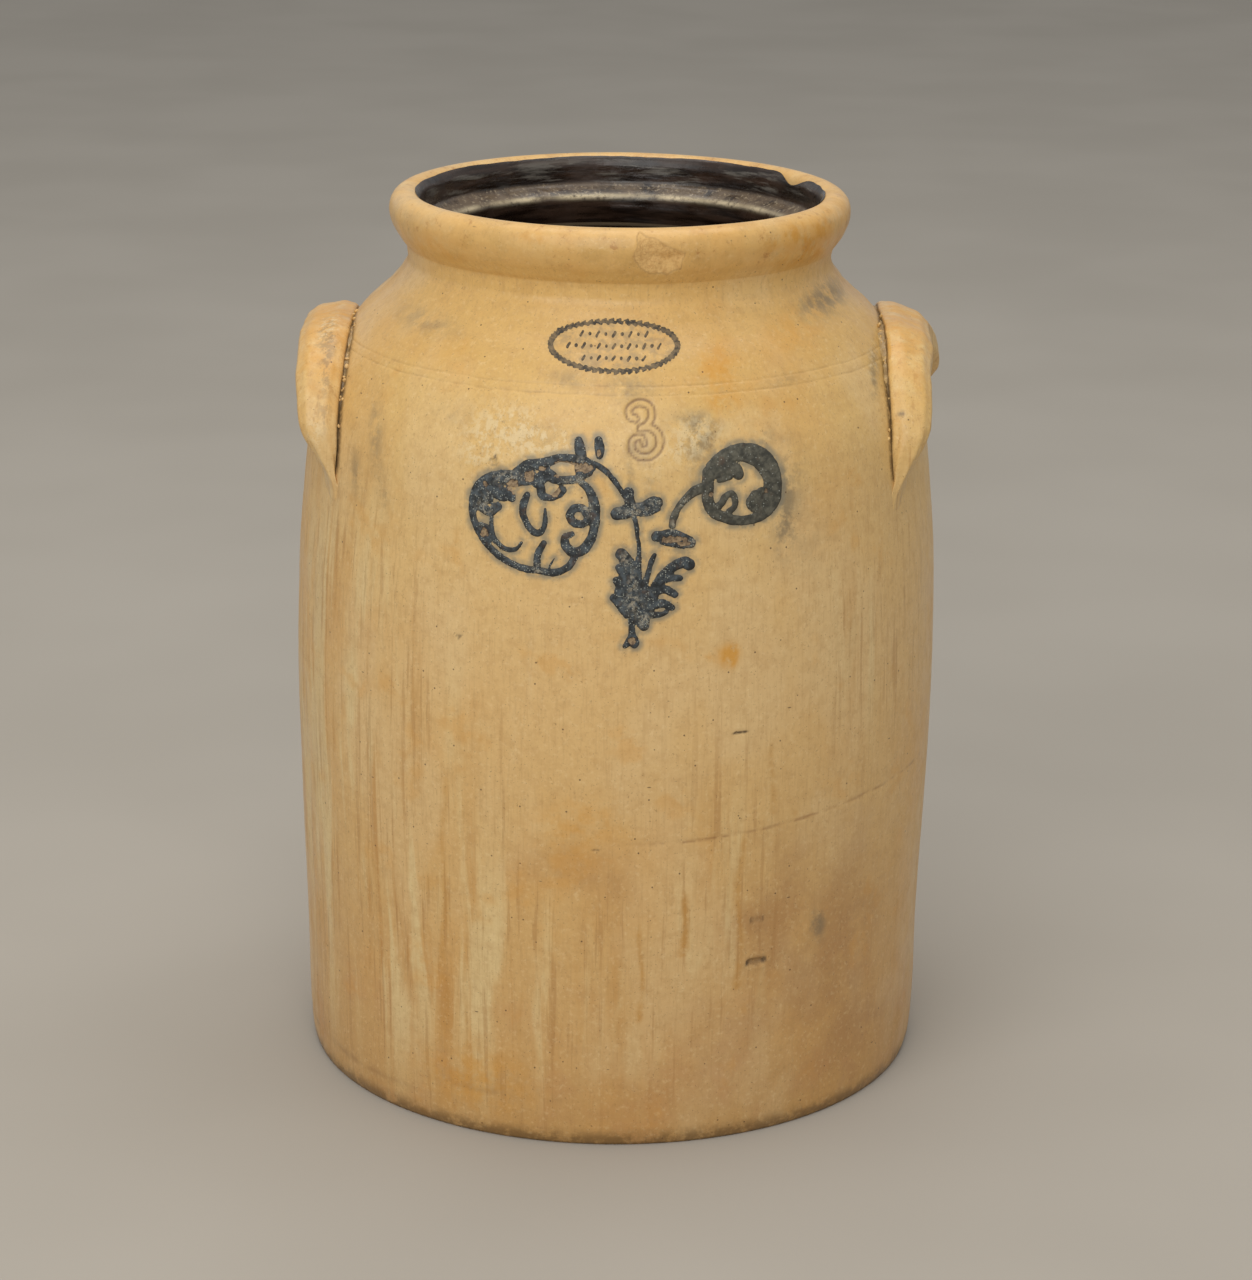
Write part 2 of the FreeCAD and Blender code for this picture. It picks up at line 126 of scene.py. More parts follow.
# Outside of the wall as (level, radius), and the collar over it as (radius, level).
WALL = (
    (0, 119.4), (4, 120.5), (17, 121.3), (51, 121.9), (102, 123.5), (153, 124.5), (197, 123.5),
    (231, 120.7), (258.4, 117), (279, 108.9), (294, 98), (306, 85.5), (315, 80.3), (319.5, 80.9),
)
COLLAR = (
    (80.9, 319.5), (83, 322.2), (85.2, 325.6), (86.8, 329.4), (87.3, 333), (86.5, 336.4), (84.5, 338.7),
    (81.7, 339.7), (79.2, 339.5), (77.1, 338.3), (75.9, 336), (75.6, 333.2), (75.6, 330.2),
)
wall_radius = monotone([level for level, _ in WALL], [radius for _, radius in WALL])

# Sideways lean for each mm of height, and drop of the rim for each mm across.
LEAN = 0.00224
RIM_TILT = 0.001
# The two lines turned into the shoulder: level, and where round the jar each one wanders up.
INCISED = ((287.2, 0.0), (284.0, 1.9))
LINE_WIDTH = 0.34
LINE_DEPTH = 0.3
NUMERAL_DEPTH = 0.3
RING_PITCH = 5.6
FOOT_LINE_DEPTH = 0.16
CRACK_LEVEL = 122.8
CRACK_DEPTH = 0.14
# Inner rows of the base that stand clear of the floor, and by how much.
BASE_ROWS = 4
BASE_HOLLOW = 0.35
# A distance larger than any on the jar.
FAR_AWAY = 1e9


def settle(radius, level, angle):
    """Points of a turned form in space, with the pot's slight lean, sag and out-of-round, in mm."""
    sag = 0.0022 * np.sin(2 * angle + 0.6) + 0.0012 * np.sin(3 * angle + level / 70.0)
    sag = 1 + sag * rise(level, 0, 80)
    x = radius * sag * np.sin(angle)
    y = -radius * sag * np.cos(angle)
    z = level - RIM_TILT * x * rise(level, 240, 325)
    return np.stack([x + LEAN * level, y, z], axis=-1)


def direction(line):
    """Unit vectors along a line of points, as two columns."""
    along = np.gradient(line, axis=0)
    along /= np.linalg.norm(along, axis=1)[:, None]
    return along[:, 0], along[:, 1]


def oval_distance(x, z, centre_x, centre_z, half_x, half_z):
    """Distance from an oval's middle, 1 at its edge."""
    return np.hypot((x - centre_x) / half_x, (z - centre_z) / half_z)


def polygon_depth(x, z, corners):
    """Distance inside a convex outline, negative outside."""
    depth = np.full(np.shape(x), FAR_AWAY)
    for i, (x1, z1) in enumerate(corners):
        x2, z2 = corners[(i + 1) % len(corners)]
        length = math.hypot(x2 - x1, z2 - z1)
        depth = np.minimum(depth, ((x2 - x1) * (z - z1) - (z2 - z1) * (x - x1)) / length)
    return depth


# Outline of the chip in the collar, in front elevation.
CHIP = (
    (5.2, 329), (9, 324.6), (17, 322.8), (22.4, 325.4), (23.4, 331.6), (14.6, 336), (7, 339.2),
)


def strokes_distance(x, z, strokes):
    """Distance to the nearest brush stroke's edge; negative inside. Strokes list (x, z, half width)."""
    nearest = np.full(np.shape(x), FAR_AWAY)
    for stroke in strokes:
        for px, pz, half in flow(stroke, 0.5):
            nearest = np.minimum(nearest, np.hypot(x - px, z - pz) - half)
    return nearest


# The pressed capacity mark, a plain 3, drawn like a brush stroke.
NUMERAL = (
    ((6.6, 277, 1.2), (4.6, 278, 1.2), (4.4, 280.4, 1.1), (7.6, 282.2, 1.1), (11.2, 281.2, 1.2),
     (12.4, 278.2, 1.2), (10.8, 275.2, 1.2), (8.4, 274, 1.1)),
    ((8.4, 274, 1.1), (12.2, 274, 1.2), (15, 271.4, 1.3), (15, 267.6, 1.3), (12, 264.8, 1.2),
     (8, 264.8, 1.2), (5.4, 267.4, 1.2), (6, 270.4, 1.1), (8.8, 271, 1), (9.8, 268.8, 0.9)),
)


def paint_marks(x, z, marks):
    """Sum of soft spots (x, z, half width, half height, strength)."""
    total = np.zeros(np.shape(x))
    for mark_x, mark_z, half_x, half_z, strength in marks:
        total += strength * np.exp(-((x - mark_x) / half_x) ** 2 - ((z - mark_z) / half_z) ** 2)
    return total


def wall_relief(radius, level, angle):
    """Height of the clay above its smooth form, in mm, with masks for the marks cut into it."""
    places = settle(radius, level, angle)
    front = np.cos(angle) > 0.3
    x = radius * np.sin(angle)
    relief = 0.3 * drift(3, places, 70.0) * rise(level, 0, 30) * (1 - 0.8 * rise(level, 325, 337))
    relief += 0.05 * drift(5, places, 9.0, 0.25)
    turning = np.sin(2 * math.pi * level / RING_PITCH + angle)
    neck = rise(level, 296, 306) * rise(level, 326, 318)
    relief += turning * (0.035 + 0.12 * neck) * (0.6 + 0.4 * drift(7, places, 30.0))
    line = np.zeros_like(relief)
    for base, phase in INCISED:
        wander = base + 0.35 * np.sin(angle + phase) + 0.25 * drift(11, places, 22.0, 1.0)
        pressed = 0.55 + 0.45 * drift(13 + int(base), places, 45.0)
        line += np.clip(pressed, 0.15, 1) * np.exp(-((level - wander) / LINE_WIDTH) ** 2)
    relief -= LINE_DEPTH * line
    foot_line = np.exp(-((level - 12.5 - 1.2 * np.sin(angle + 0.4)) / 0.8) ** 2)
    foot_line += 0.5 * np.exp(-((level - 17.5 + 2.0 * np.sin(angle)) / 0.6) ** 2)
    relief -= FOOT_LINE_DEPTH * foot_line
    scratch = np.exp(-((level - CRACK_LEVEL - 3.0 * (x / 100.0) ** 2 + 1.2 * np.cos(x / 34.0)) / 0.7) ** 2)
    scratch *= rise(x, -14.0, 30.0) * front * (0.7 + 0.3 * drift(15, places, 20.0))
    relief -= CRACK_DEPTH * scratch
    near_numeral = front & (np.abs(x - 9.5) < 10.0) & (np.abs(level - 273.5) < 13.0)
    edge = np.full(np.shape(x), 9.0)
    edge[near_numeral] = strokes_distance(x[near_numeral], level[near_numeral], NUMERAL)
    numeral = np.exp(-(edge / 0.5) ** 2)
    relief -= NUMERAL_DEPTH * numeral + 0.12 * rise(edge, 0.3, -0.6)
    chip = np.where(front, polygon_depth(x, places[..., 2], CHIP), -9.0)
    chip = np.where(level > 318, chip, -9.0) + 0.7 * drift(17, places, 5.0)
    chip_mask = rise(chip, -0.35, 0.6) * rise(radius, 78.0, 80.5)
    relief -= chip_mask * np.clip(0.35 + 0.36 * chip + 0.3 * drift(19, places, 4.0), 0, 2.3)
    masks = {
        "line": np.clip(line, 0, 1),
        "numeral": numeral,
        "chip": chip_mask,
        "foot_line": foot_line,
        "scratch": scratch,
    }
    return relief, masks


def clay_surface(radius, level, angle, normal_radius, normal_level, lift=0.0):
    """Points on the finished clay, lifted along the form's normal, and the masks there."""
    relief, masks = wall_relief(radius, level, angle)
    raised = relief + lift
    for x, z, half_x, half_z, depth, rim in PITS:
        away = oval_distance(radius * np.sin(angle), level, x, z, half_x, half_z)
        away = np.where(np.cos(angle) > 0, away, 9.0)
        raised = raised - depth * rise(away, 1.15, 0.55) + rim * np.exp(-((away - 1.25) / 0.25) ** 2)
    places = settle(radius + normal_radius * raised, level + normal_level * raised, angle)
    return places, masks


# Blowouts and dings in the wall: x, z, half width, half height, depth, height of the raised rim.
PITS = (
    (53.6, 71, 3.8, 1.7, 1.3, 0.35), (53.6, 88, 2.6, 1.6, 0.3, 0.15), (45.8, 162.6, 2.6, 0.6, 0.5, 0.05),
    (-43.6, 260.4, 1.7, 1.4, 0.3, 0.3), (-43, 262.4, 0.7, 0.7, 0.4, 0.05),
    (-6, 119.4, 1.4, 0.5, 0.3, 0.05), (-56, 196, 1, 0.8, 0.3, 0.1),
)


# ---- brush strokes, in front elevation: (x, z, half width) along each stroke

LARGE_BLOOM = (
    ((-35, 256.6, 1.6), (-41, 256.2, 1.8), (-46.6, 253, 2.4), (-50, 247.6, 2.2), (-51, 242, 1.4),
     (-49.8, 237.4, 1.3), (-47, 232.6, 1.3), (-43, 228.6, 1.3), (-38, 225.6, 1.3), (-32.4, 223.8, 1.3),
     (-27, 223.4, 1.3), (-22.6, 223, 1.4), (-18.8, 224, 1.3), (-16, 226.2, 1.3), (-14.2, 229.4, 1.3)),
    ((-12.6, 256, 1.2), (-9.6, 253, 1.5), (-7.8, 248.6, 1.9), (-7.4, 243.6, 2), (-7.8, 238.6, 1.6),
     (-9, 235, 1.7), (-11.6, 231.6, 1.9), (-14.8, 230.8, 1.8), (-17.4, 232.6, 1.7), (-17.8, 235.8, 1.4),
     (-15.4, 237.2, 1)),
    ((-10, 243.6, 1.3), (-11.4, 246.2, 1.5), (-14.4, 246.4, 1.5), (-16.2, 243.8, 1.5), (-14.6, 241.2, 1.5),
     (-11.6, 241, 1.4), (-9.4, 242.6, 1)),
    ((-31.4, 250, 1.2), (-32.6, 247, 1.4), (-32.9, 243.6, 1.3), (-31.6, 240.4, 1.2), (-29.6, 237.6, 1.3),
     (-27.2, 236.9, 1.3), (-25.4, 239, 1), (-24.9, 242.2, 0.8), (-25, 245.6, 0.4)),
    ((-44, 242.6, 0.7), (-44.2, 238.6, 0.8), (-43.6, 234.4, 1), (-41.2, 231.4, 1), (-38, 230, 0.9),
     (-35.2, 230.6, 0.7), (-33.2, 233, 0.4)),
    ((-27.4, 223.6, 1.2), (-27.8, 226.8, 1.3), (-27.2, 230, 1.3), (-25.4, 233.4, 1.1)),
    ((-23.4, 225, 0.4), (-21.6, 228.2, 0.2)),
    ((-47.4, 244, 1.8), (-44.6, 242.8, 1.7), (-42, 245, 1.6)),
    ((-46, 252, 2.2), (-45.6, 247.6, 2.2)),
    ((-43, 250.6, 2.6), (-40.6, 249.6, 2.6), (-38, 249.6, 2.2), (-36.8, 248.4, 1.3)),
    ((-40, 254.4, 1.6), (-36.6, 253.8, 1.5), (-33.6, 255.6, 2.6), (-30.6, 256.4, 2.8)),
    ((-35.2, 258, 1.4), (-31.6, 260.6, 1.5), (-27.6, 261, 1.9), (-24.2, 262, 1.7), (-20, 263.6, 1.4),
     (-15.6, 263.4, 1.6), (-11.6, 262.4, 2.2), (-9, 261, 1.9)),
    ((-28, 254.6, 1.9), (-24.6, 257.6, 2.3), (-20.6, 256, 1.7), (-16.6, 256.2, 1.5), (-13, 256.8, 1.5)),
    ((-26.6, 253, 1.6), (-26, 250.4, 1.6), (-23.8, 249.6, 1.2), (-21, 250.6, 1.4), (-19, 252.6, 1.6)),
    ((-13.2, 262, 1.6), (-12.6, 259.4, 1.8), (-9.4, 259.2, 1.3), (-13, 257.2, 1.2)),
    ((-48, 238, 1), (-45.4, 236.4, 1.3), (-45.6, 232.6, 1.6)),
)
BUDS = (
    ((-13.4, 269.4, 1.5), (-12.8, 266.6, 2), (-12, 263.6, 1.6)),
    ((-6.4, 269.8, 1.5), (-6, 267.2, 1.8), (-6, 264.8, 1.2)),
)
LEFT_STEM = (
    ((-9.4, 262.6, 0.9), (-5.4, 261, 1.1), (-1.8, 257.8, 1), (1, 254.2, 0.9), (3.2, 250.8, 0.9)),
)
MAIN_STEM = (
    ((6.4, 244, 0.9), (7.4, 240.6, 0.8), (7.8, 236.6, 0.7), (8.4, 232.6, 0.8), (8.4, 228, 0.9)),
)
RIGHT_STEM = (
    ((30.4, 253, 2), (27.4, 252, 1.8), (24.4, 249.4, 1.4), (22, 246.4, 1.3), (20.6, 243.4, 1.4),
     (20, 240.4, 1.3)),
)
LEFT_BLOSSOM = (
    ((4.4, 252.2, 2), (4.6, 250, 1.9), (5.6, 247.4, 1.6)),
    ((0.4, 244.8, 2.3), (2.4, 245.2, 2.4), (5, 246, 2.6), (7.8, 246.4, 2.4), (10.6, 247, 2.4),
     (13, 248.4, 2.4), (14.6, 248.6, 2.1)),
    ((9, 244.8, 1.2), (12.4, 244.8, 0.7), (15, 246.4, 0.9)),
)
RIGHT_BLOSSOM = (
    ((14.6, 236.6, 2), (16.6, 236.8, 1.9), (19.6, 237, 2.2), (22.6, 235.8, 2.4), (25.6, 234.4, 2.2),
     (26.6, 234, 1.9)),
    ((16.6, 234.6, 1), (20.4, 233.4, 0.8), (24, 232.6, 0.8)),
)
LEAF_SPRAY = (
    ((2.2, 230.4, 2.2), (3.6, 228.6, 2.4), (5, 226, 2.5), (6.2, 222, 2.6), (6.8, 217, 2.6),
     (6.6, 213, 2.6)),
    ((8.2, 229, 1.1), (8.2, 224, 1.3), (8.6, 218, 1.4), (9.6, 212, 2.2)),
    ((1.4, 225.6, 1.5), (3.6, 222.6, 1.8), (5.6, 219.6, 1.8)),
    ((0.6, 221, 1.4), (2.6, 218.2, 1.8), (4.6, 215.4, 1.8)),
    ((-0.2, 214.6, 1.6), (1.8, 213, 2), (3.4, 210.6, 1.9), (4.4, 208.4, 1.2)),
    ((1.8, 217, 2), (3.4, 213, 2.2)),
    ((10.6, 215, 1.2), (10.8, 219, 1), (11.8, 224, 1), (13, 228, 1), (14, 230, 0.8)),
    ((12.6, 211, 1.8), (13.6, 215.6, 2), (15.2, 219.6, 2), (17.6, 223, 1.9), (21, 225.8, 1.9),
     (24.4, 227.2, 2), (26.2, 226.2, 2.2)),
    ((16.6, 221, 1.5), (19.6, 221.6, 1.4), (23, 221.4, 1.2)),
    ((14.8, 217.4, 1.9), (18, 217.6, 1.6), (21.4, 215.6, 1.2)),
    ((14.6, 212.4, 1.7), (17.6, 212.4, 1.5), (20.4, 210.8, 1.2)),
    ((10.4, 210, 2.8), (10, 206.6, 2.6), (10.4, 204.6, 1.9)),
    ((12.6, 208.6, 1.6), (15.8, 208.4, 1), (18.6, 209.4, 0.7)),
    ((6.2, 211, 1.6), (6, 206, 1.2), (6.2, 201.6, 1.2), (5, 198.6, 1.3), (3.8, 197.2, 0.9)),
    ((6.4, 201.4, 1.3), (7.4, 198.6, 1.5), (7.2, 197.6, 1.4)),
)
SMALL_BLOOM = (
    ((32.6, 258.6, 2.2), (32.4, 253.6, 2.2), (32.6, 248.6, 2), (34.6, 244.6, 2), (38.6, 242.2, 1.9),
     (43, 240.8, 1.8), (47.6, 240.6, 1.8), (52.4, 242.2, 2.2), (55.4, 246, 2.9), (56, 251, 3.2),
     (55, 256.4, 3.4), (52, 261, 3.6), (47.6, 263.8, 3.4), (42.6, 264.4, 3), (37.6, 262.8, 2.8),
     (34, 260.4, 2.4)),
    ((34.6, 258.6, 2.8), (38.6, 259.6, 2.8), (42, 258.8, 2.4), (43.6, 256.8, 1.8)),
    ((36.6, 255.6, 1.2), (40, 256.6, 1.4)),
    ((35.6, 246, 1.4), (37.4, 247.2, 1.3), (38.8, 249.6, 1.2), (40.8, 250.6, 1.1), (42.2, 248.6, 1.2),
     (42, 245.8, 1.1), (40.2, 244.2, 1.2)),
    ((49.4, 249.4, 1.6), (48.4, 246.4, 2.2), (50.6, 245, 2.2), (53, 247, 2)),
    ((53, 250.4, 1), (51.2, 250.2, 1.4), (50.2, 248, 1.8)),
)
COBALT = {
    "cobalt_large_bloom": LARGE_BLOOM,
    "cobalt_small_bloom": SMALL_BLOOM,
    "cobalt_buds": BUDS,
    "cobalt_left_stem": LEFT_STEM,
    "cobalt_main_stem": MAIN_STEM,
    "cobalt_right_stem": RIGHT_STEM,
    "cobalt_left_blossom": LEFT_BLOSSOM,
    "cobalt_right_blossom": RIGHT_BLOSSOM,
    "cobalt_leaf_spray": LEAF_SPRAY,
}
# Places where the fired cobalt has flaked and shows tan clay: x, z, half width, half height.
BARE_SPOTS = (
    (-36.4, 252.8, 2, 2.6), (-30.4, 256.4, 1.9, 2.1), (-21.6, 252.2, 1.9, 2.2), (-11.4, 260.6, 2.9, 1.7),
    (-18, 261.8, 3.8, 0.8), (-46.4, 252.6, 0.8, 1), (-46.6, 235.2, 1.5, 1.7), (-26, 259.6, 1.4, 0.9),
    (-21, 257.4, 1, 0.6), (-6.2, 265.6, 0.8, 1.3), (20.6, 235.4, 4.6, 1.2), (24, 233.8, 2.4, 0.8),
    (33.8, 250.8, 0.9, 0.8), (53.4, 250, 0.7, 0.9), (6.4, 199, 1.3, 1.3), (-33.4, 252, 1, 1.4),
)
# Places where pale crystals grew thickly in the cobalt.
FROST_SPOTS = (
    (6, 246.6, 4.6, 2), (9.6, 244.6, 4.4, 1.2), (6.4, 212.6, 2.6, 3.4), (10.8, 206.6, 2.2, 3.2),
    (-46.6, 243.4, 2.8, 4), (-38, 255.6, 5, 2.2), (-14, 256, 4, 1.6), (-27.4, 223.2, 1.6, 2.2),
    (23.6, 248.6, 2, 3), (20.2, 240.4, 1.8, 2.2), (26.4, 234.2, 2.6, 1.8), (3.4, 228.6, 1.6, 2.4),
    (-10.4, 247, 1.8, 3.2), (14, 248.6, 1.8, 1.2), (-12, 262.6, 2.2, 1.4), (6.2, 220, 1.4, 4),
)

STAMP_CENTRE = (-1.4, 299.3)
STAMP_HALF = (22.8, 7.6)
ROPE_BEADS = 56


def stamp_ring():
    """Oval rope border: a ring of short slanted beads."""
    strokes = []
    for number in range(ROPE_BEADS):
        turn = 2 * math.pi * number / ROPE_BEADS
        for reach, half in ((-0.55, 0.62), (0.55, 0.42)):
            lean = turn + 0.03 * reach
            strokes.append((
                (STAMP_CENTRE[0] + (STAMP_HALF[0] + reach) * math.cos(lean),
                 STAMP_CENTRE[1] + (STAMP_HALF[1] + reach) * math.sin(lean), half),
                (STAMP_CENTRE[0] + (STAMP_HALF[0] + reach * 0.4) * math.cos(lean + 0.05),
                 STAMP_CENTRE[1] + (STAMP_HALF[1] + reach * 0.4) * math.sin(lean + 0.05), half * 0.9),
            ))
    return tuple(strokes)


def stamp_filling():
    """Rows of plain beads and short dashes in place of lettering."""
    strokes = []
    for row, (count, pitch, tall) in enumerate(((9, 2.9, 0.85), (13, 2.7, 0.8), (9, 2.7, 0.7))):
        level = STAMP_CENTRE[1] + (1 - row) * 3.5
        for number in range(count):
            x = STAMP_CENTRE[0] + (number - (count - 1) / 2) * pitch
            if number % 2:
                strokes.append(((x, level, 0.5), (x + 0.05, level + 0.05, 0.5)))
            else:
                strokes.append(((x - 0.4, level - tall * 0.7, 0.42), (x + 0.4, level + tall * 0.7, 0.42)))
    return tuple(strokes)


# ---- mesh building

def new_piece(name, vertices, faces, material, masks):
    """Smooth mesh object from points in mm; masks become point attributes that the materials read."""
    mesh = bpy.data.meshes.new(name)
    mesh.from_pydata((np.asarray(vertices) * MM).tolist(), [], faces)
    for title, values in masks.items():
        layer = mesh.attributes.new(title, "FLOAT", "POINT")
        layer.data.foreach_set("value", np.asarray(values, dtype=np.float32).ravel())
    mesh.materials.append(material)
    mesh.polygons.foreach_set("use_smooth", [True] * len(mesh.polygons))
    mesh.update()
    piece = bpy.data.objects.new(name, mesh)
    bpy.context.scene.collection.objects.link(piece)
    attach(piece, "root")
    return piece


def lathe_faces(rows, columns, wrap=True):
    """Quads of a grid; with wrap the columns run round the form and the last joins the first."""
    row = np.arange(rows - 1)[:, None] * columns
    column = np.arange(columns if wrap else columns - 1)[None, :]
    after = (column + 1) % columns
    quads = np.stack([row + column, row + after, row + columns + after, row + columns + column], axis=-1)
    return quads.reshape(-1, 4).tolist()


def close_centre(piece):
    """Merge the row of points that meet on the axis."""
    shape = bmesh.new()
    shape.from_mesh(piece.data)
    bmesh.ops.remove_doubles(shape, verts=shape.verts, dist=1e-7)
    shape.to_mesh(piece.data)
    shape.free()


def in_bands(*bands):
    """Stations from (from, to, step) bands."""
    return np.concatenate([np.arange(*band) for band in bands])


BACK_STREAKS = 0.45

# Soft marks on the front of the wall: x, z, half width, half height, strength.
SCUM = (
    (-38, 272, 15, 9, 1), (-22, 268, 12, 6, 0.6), (-50, 262, 8, 8, 0.7), (24, 268, 8, 9, 0.8),
    (34, 273, 9, 6, 0.5), (12, 258, 5, 10, 0.35), (6, 302, 18, 7, 0.25), (-30, 332, 14, 5, 0.4),
    (94, 284, 2.5, 6, 0.8), (-30, 190, 1.5, 26, 0.35), (-36, 160, 1.6, 16, 0.35),
)
IRON = (
    (35, 292, 8, 9, 0.8), (38, 281, 6, 4, 0.6), (41, 192, 4, 4.5, 1.1), (43, 192, 1.2, 4, 0.8),
    (34, 192, 3, 3, 0.5), (20, 209, 6, 4, 0.3), (64, 300, 14, 9, 0.5), (-60, 290, 20, 9, 0.3),
    (50, 270, 14, 10, 0.3), (-20, 100, 16, 40, 0.25), (-50, 22, 26, 16, 0.6), (-8, 130, 20, 12, 0.4),
    (70, 330, 17, 9, 1.3), (-30, 336, 7, 2.5, 0.7), (-66, 328, 12, 7, 0.7),
)
SMOKE = (
    (76, 306, 12, 5, 0.9), (-70, 300, 16, 4, 0.5), (-88, 262, 3, 16, 0.6), (-84, 240, 2.5, 12, 0.45),
    (62, 255, 7, 14, 0.5), (60, 236, 5, 12, 0.45), (52, 268, 5, 4, 0.6), (77, 80, 3.4, 7, 0.9),
    (8, 268, 7, 8, 0.35), (5, 256, 1.8, 12, 0.55), (12, 256, 3, 9, 0.4), (53.6, 88, 4, 3, 0.35),
    (94.5, 281, 2.4, 9, 0.8), (70, 228, 10, 16, 0.25), (-17.5, 289, 9, 3.5, 0.5), (5, 287, 10, 5, 0.55),
    (29, 262, 6, 12, 0.45), (59, 286, 8, 3, 0.45), (26, 276, 9, 4, 0.5), (60, 244, 2.6, 13, 0.6),
    (-96, 246, 2.6, 10, 0.6), (31, 270, 8, 6, 0.55), (-25, 270, 14, 6, 0.3), (-58, 274, 12, 5, 0.3),
)
STAIN = (
    (62, 100, 16, 22, 0.75), (50, 82, 12, 12, 0.6), (74, 62, 20, 24, 0.6), (40, 44, 30, 16, 0.45),
    (92, 86, 14, 40, 0.6), (-18, 112, 20, 11, 0.5), (-36, 106, 9, 7, 0.25), (2, 100, 12, 18, 0.35),
    (30, 22, 60, 12, 0.4), (98, 30, 18, 16, 0.6), (20, 142, 22, 14, 0.25),
)
STREAKED = (
    (-112, 120, 22, 90, 1), (-84, 90, 20, 80, 0.9), (-48, 66, 26, 50, 0.8), (0, 60, 44, 44, 0.6),
    (44, 110, 20, 60, 0.5), (96, 190, 20, 44, 0.6), (-98, 200, 22, 44, 0.55), (-62, 150, 30, 50, 0.35),
)
# Mask, its marks on the front, and its even strength round the back.
WALL_MARKS = {
    "scum": (SCUM, 0),
    "iron": (IRON, 0),
    "smoke": (SMOKE, 0),
    "stain": (STAIN, 0.35),
    "streaked": (STREAKED, BACK_STREAKS),
}
# Thin runs of brown glaze: x, top, bottom, half width, strength.
RUNS = (
    (11, 98, 50, 1.1, 0.8), (26.5, 108, 76, 1.5, 1), (47, 130, 60, 1.6, 0.7), (58, 164, 128, 1.5, 0.6),
    (66, 152, 126, 1.3, 0.6), (39, 122, 96, 1.2, 0.4), (-62, 150, 40, 1.8, 0.6), (-54, 110, 30, 1.3, 0.5),
    (-12, 84, 40, 1.3, 0.4), (-33, 70, 28, 1.4, 0.4), (-48, 190, 150, 1, 0.4),
)


def paint_runs(x, z, runs):
    """Narrow wandering drips that fade in at the top and end in a rounder drop."""
    total = np.zeros(np.shape(x))
    for run_x, top, bottom, half, strength in runs:
        line = run_x + 0.8 * np.sin(z / 7.0 + run_x)
        window = rise(z, bottom - 1.5, bottom + 1.5) * rise(z, top, top - 12.0)
        width = half * (1 + 0.6 * np.exp(-((z - bottom - 4.0) / 4.0) ** 2))
        total += strength * window * np.exp(-((x - line) / width) ** 2)
    return total


def build_clay(material):
    """Outside of the jar from the middle of the base to just inside the lip."""
    base = np.array([(radius, 0) for radius in (0, 40, 80, 108, 116, 118.6)])
    levels = in_bands(
        (0.3, 4.6, 1.0), (4.6, 60.0, 3.4), (60.0, 96.0, 1.3), (96.0, 114.0, 3.2), (114.0, 130.0, 0.8),
        (130.0, 158.0, 3.2), (158.0, 167.0, 0.9), (167.0, 190.0, 3.2), (190.0, 262.0, 1.05),
        (262.0, 282.0, 0.75), (282.0, 289.4, 0.26), (289.4, 319.4, 0.8),
    )
    wall = np.stack([wall_radius(levels), levels], axis=1)
    outline = np.vstack([base, wall, flow(COLLAR, 0.85)])
    out_level, out_radius = direction(outline)
    angles = np.radians(in_bands(
        (-90.0, -76.0, 2.0), (-76.0, -48.0, 0.8), (-48.0, -31.0, 1.7), (-31.0, 31.0, 0.4), (31.0, 48.0, 1.7),
        (48.0, 76.0, 0.8), (76.0, 270.0, 3.8),
    ))
    radius, angle = np.meshgrid(outline[:, 0], angles, indexing="ij")
    level = np.repeat(outline[:, 1:], len(angles), axis=1)
    places, masks = clay_surface(radius, level, angle, out_radius[:, None], -out_level[:, None])
    places[:BASE_ROWS, :, 2] = BASE_HOLLOW
    x = radius * np.sin(angle)
    facing = rise(np.cos(angle), 0.0, 0.25)
    decoration = np.full(x.shape, FAR_AWAY)
    near = (np.cos(angle) > 0.8) & (level > 188) & (level < 280)
    for strokes in COBALT.values():
        decoration[near] = np.minimum(decoration[near], strokes_distance(x[near], level[near], strokes))
    masks["halo"] = rise(decoration, 3.2, 0.2)
    stamp = np.full(x.shape, FAR_AWAY)
    near = (np.cos(angle) > 0.8) & (level > 285) & (level < 314)
    stamp[near] = oval_distance(x[near], level[near], *STAMP_CENTRE, *STAMP_HALF)
    masks["stamp_wash"] = rise(stamp, 1.16, 0.98) * facing
    for title, (marks, behind) in WALL_MARKS.items():
        masks[title] = paint_marks(x, level, marks) * facing + behind * (1 - facing)
    masks["run"] = paint_runs(x, level, RUNS) * facing
    pit = np.zeros(x.shape)
    for pit_x, pit_z, half_x, half_z, depth, _ in PITS:
        away = oval_distance(x, level, pit_x, pit_z, half_x, half_z)
        hollow = 0.45 if half_z > 1.2 else 1.0
        stained = min(1.0, depth / 0.5) * facing
        ring = hollow + (1 - hollow) * rise(away, 0.6, 0.95)
        pit = np.maximum(pit, rise(away, 1.25, 0.9) * ring * stained)
    masks["pit"] = pit
    masks["lip"] = rise(level, 322.0, 327.0) * rise(radius, 75.0, 77.0)
    masks["foot"] = rise(level, 9.0, 1.0)
    piece = new_piece("salt_glazed_body", places.reshape(-1, 3), lathe_faces(*x.shape), material, masks)
    close_centre(piece)
    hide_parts("jar_body")
    return piece


# The slip's face from the lip down to the middle of the floor, as (radius, level).
INSIDE = (
    (80.2, 340.15), (78.4, 339.45), (76.8, 338.2), (75.6, 336), (75.3, 333), (75.1, 330), (74.8, 328.4),
    (73.6, 327.4), (71, 326), (69.4, 325), (68.5, 323.6), (68.4, 321), (69.2, 315), (73.4, 307), (81, 298),
    (89.9, 287.6), (100, 273.6), (108.4, 255.6), (112.8, 215), (114.9, 153), (114, 90), (111.9, 30),
    (108.6, 18), (98, 12.8), (60, 12.6), (0, 12.6),
)


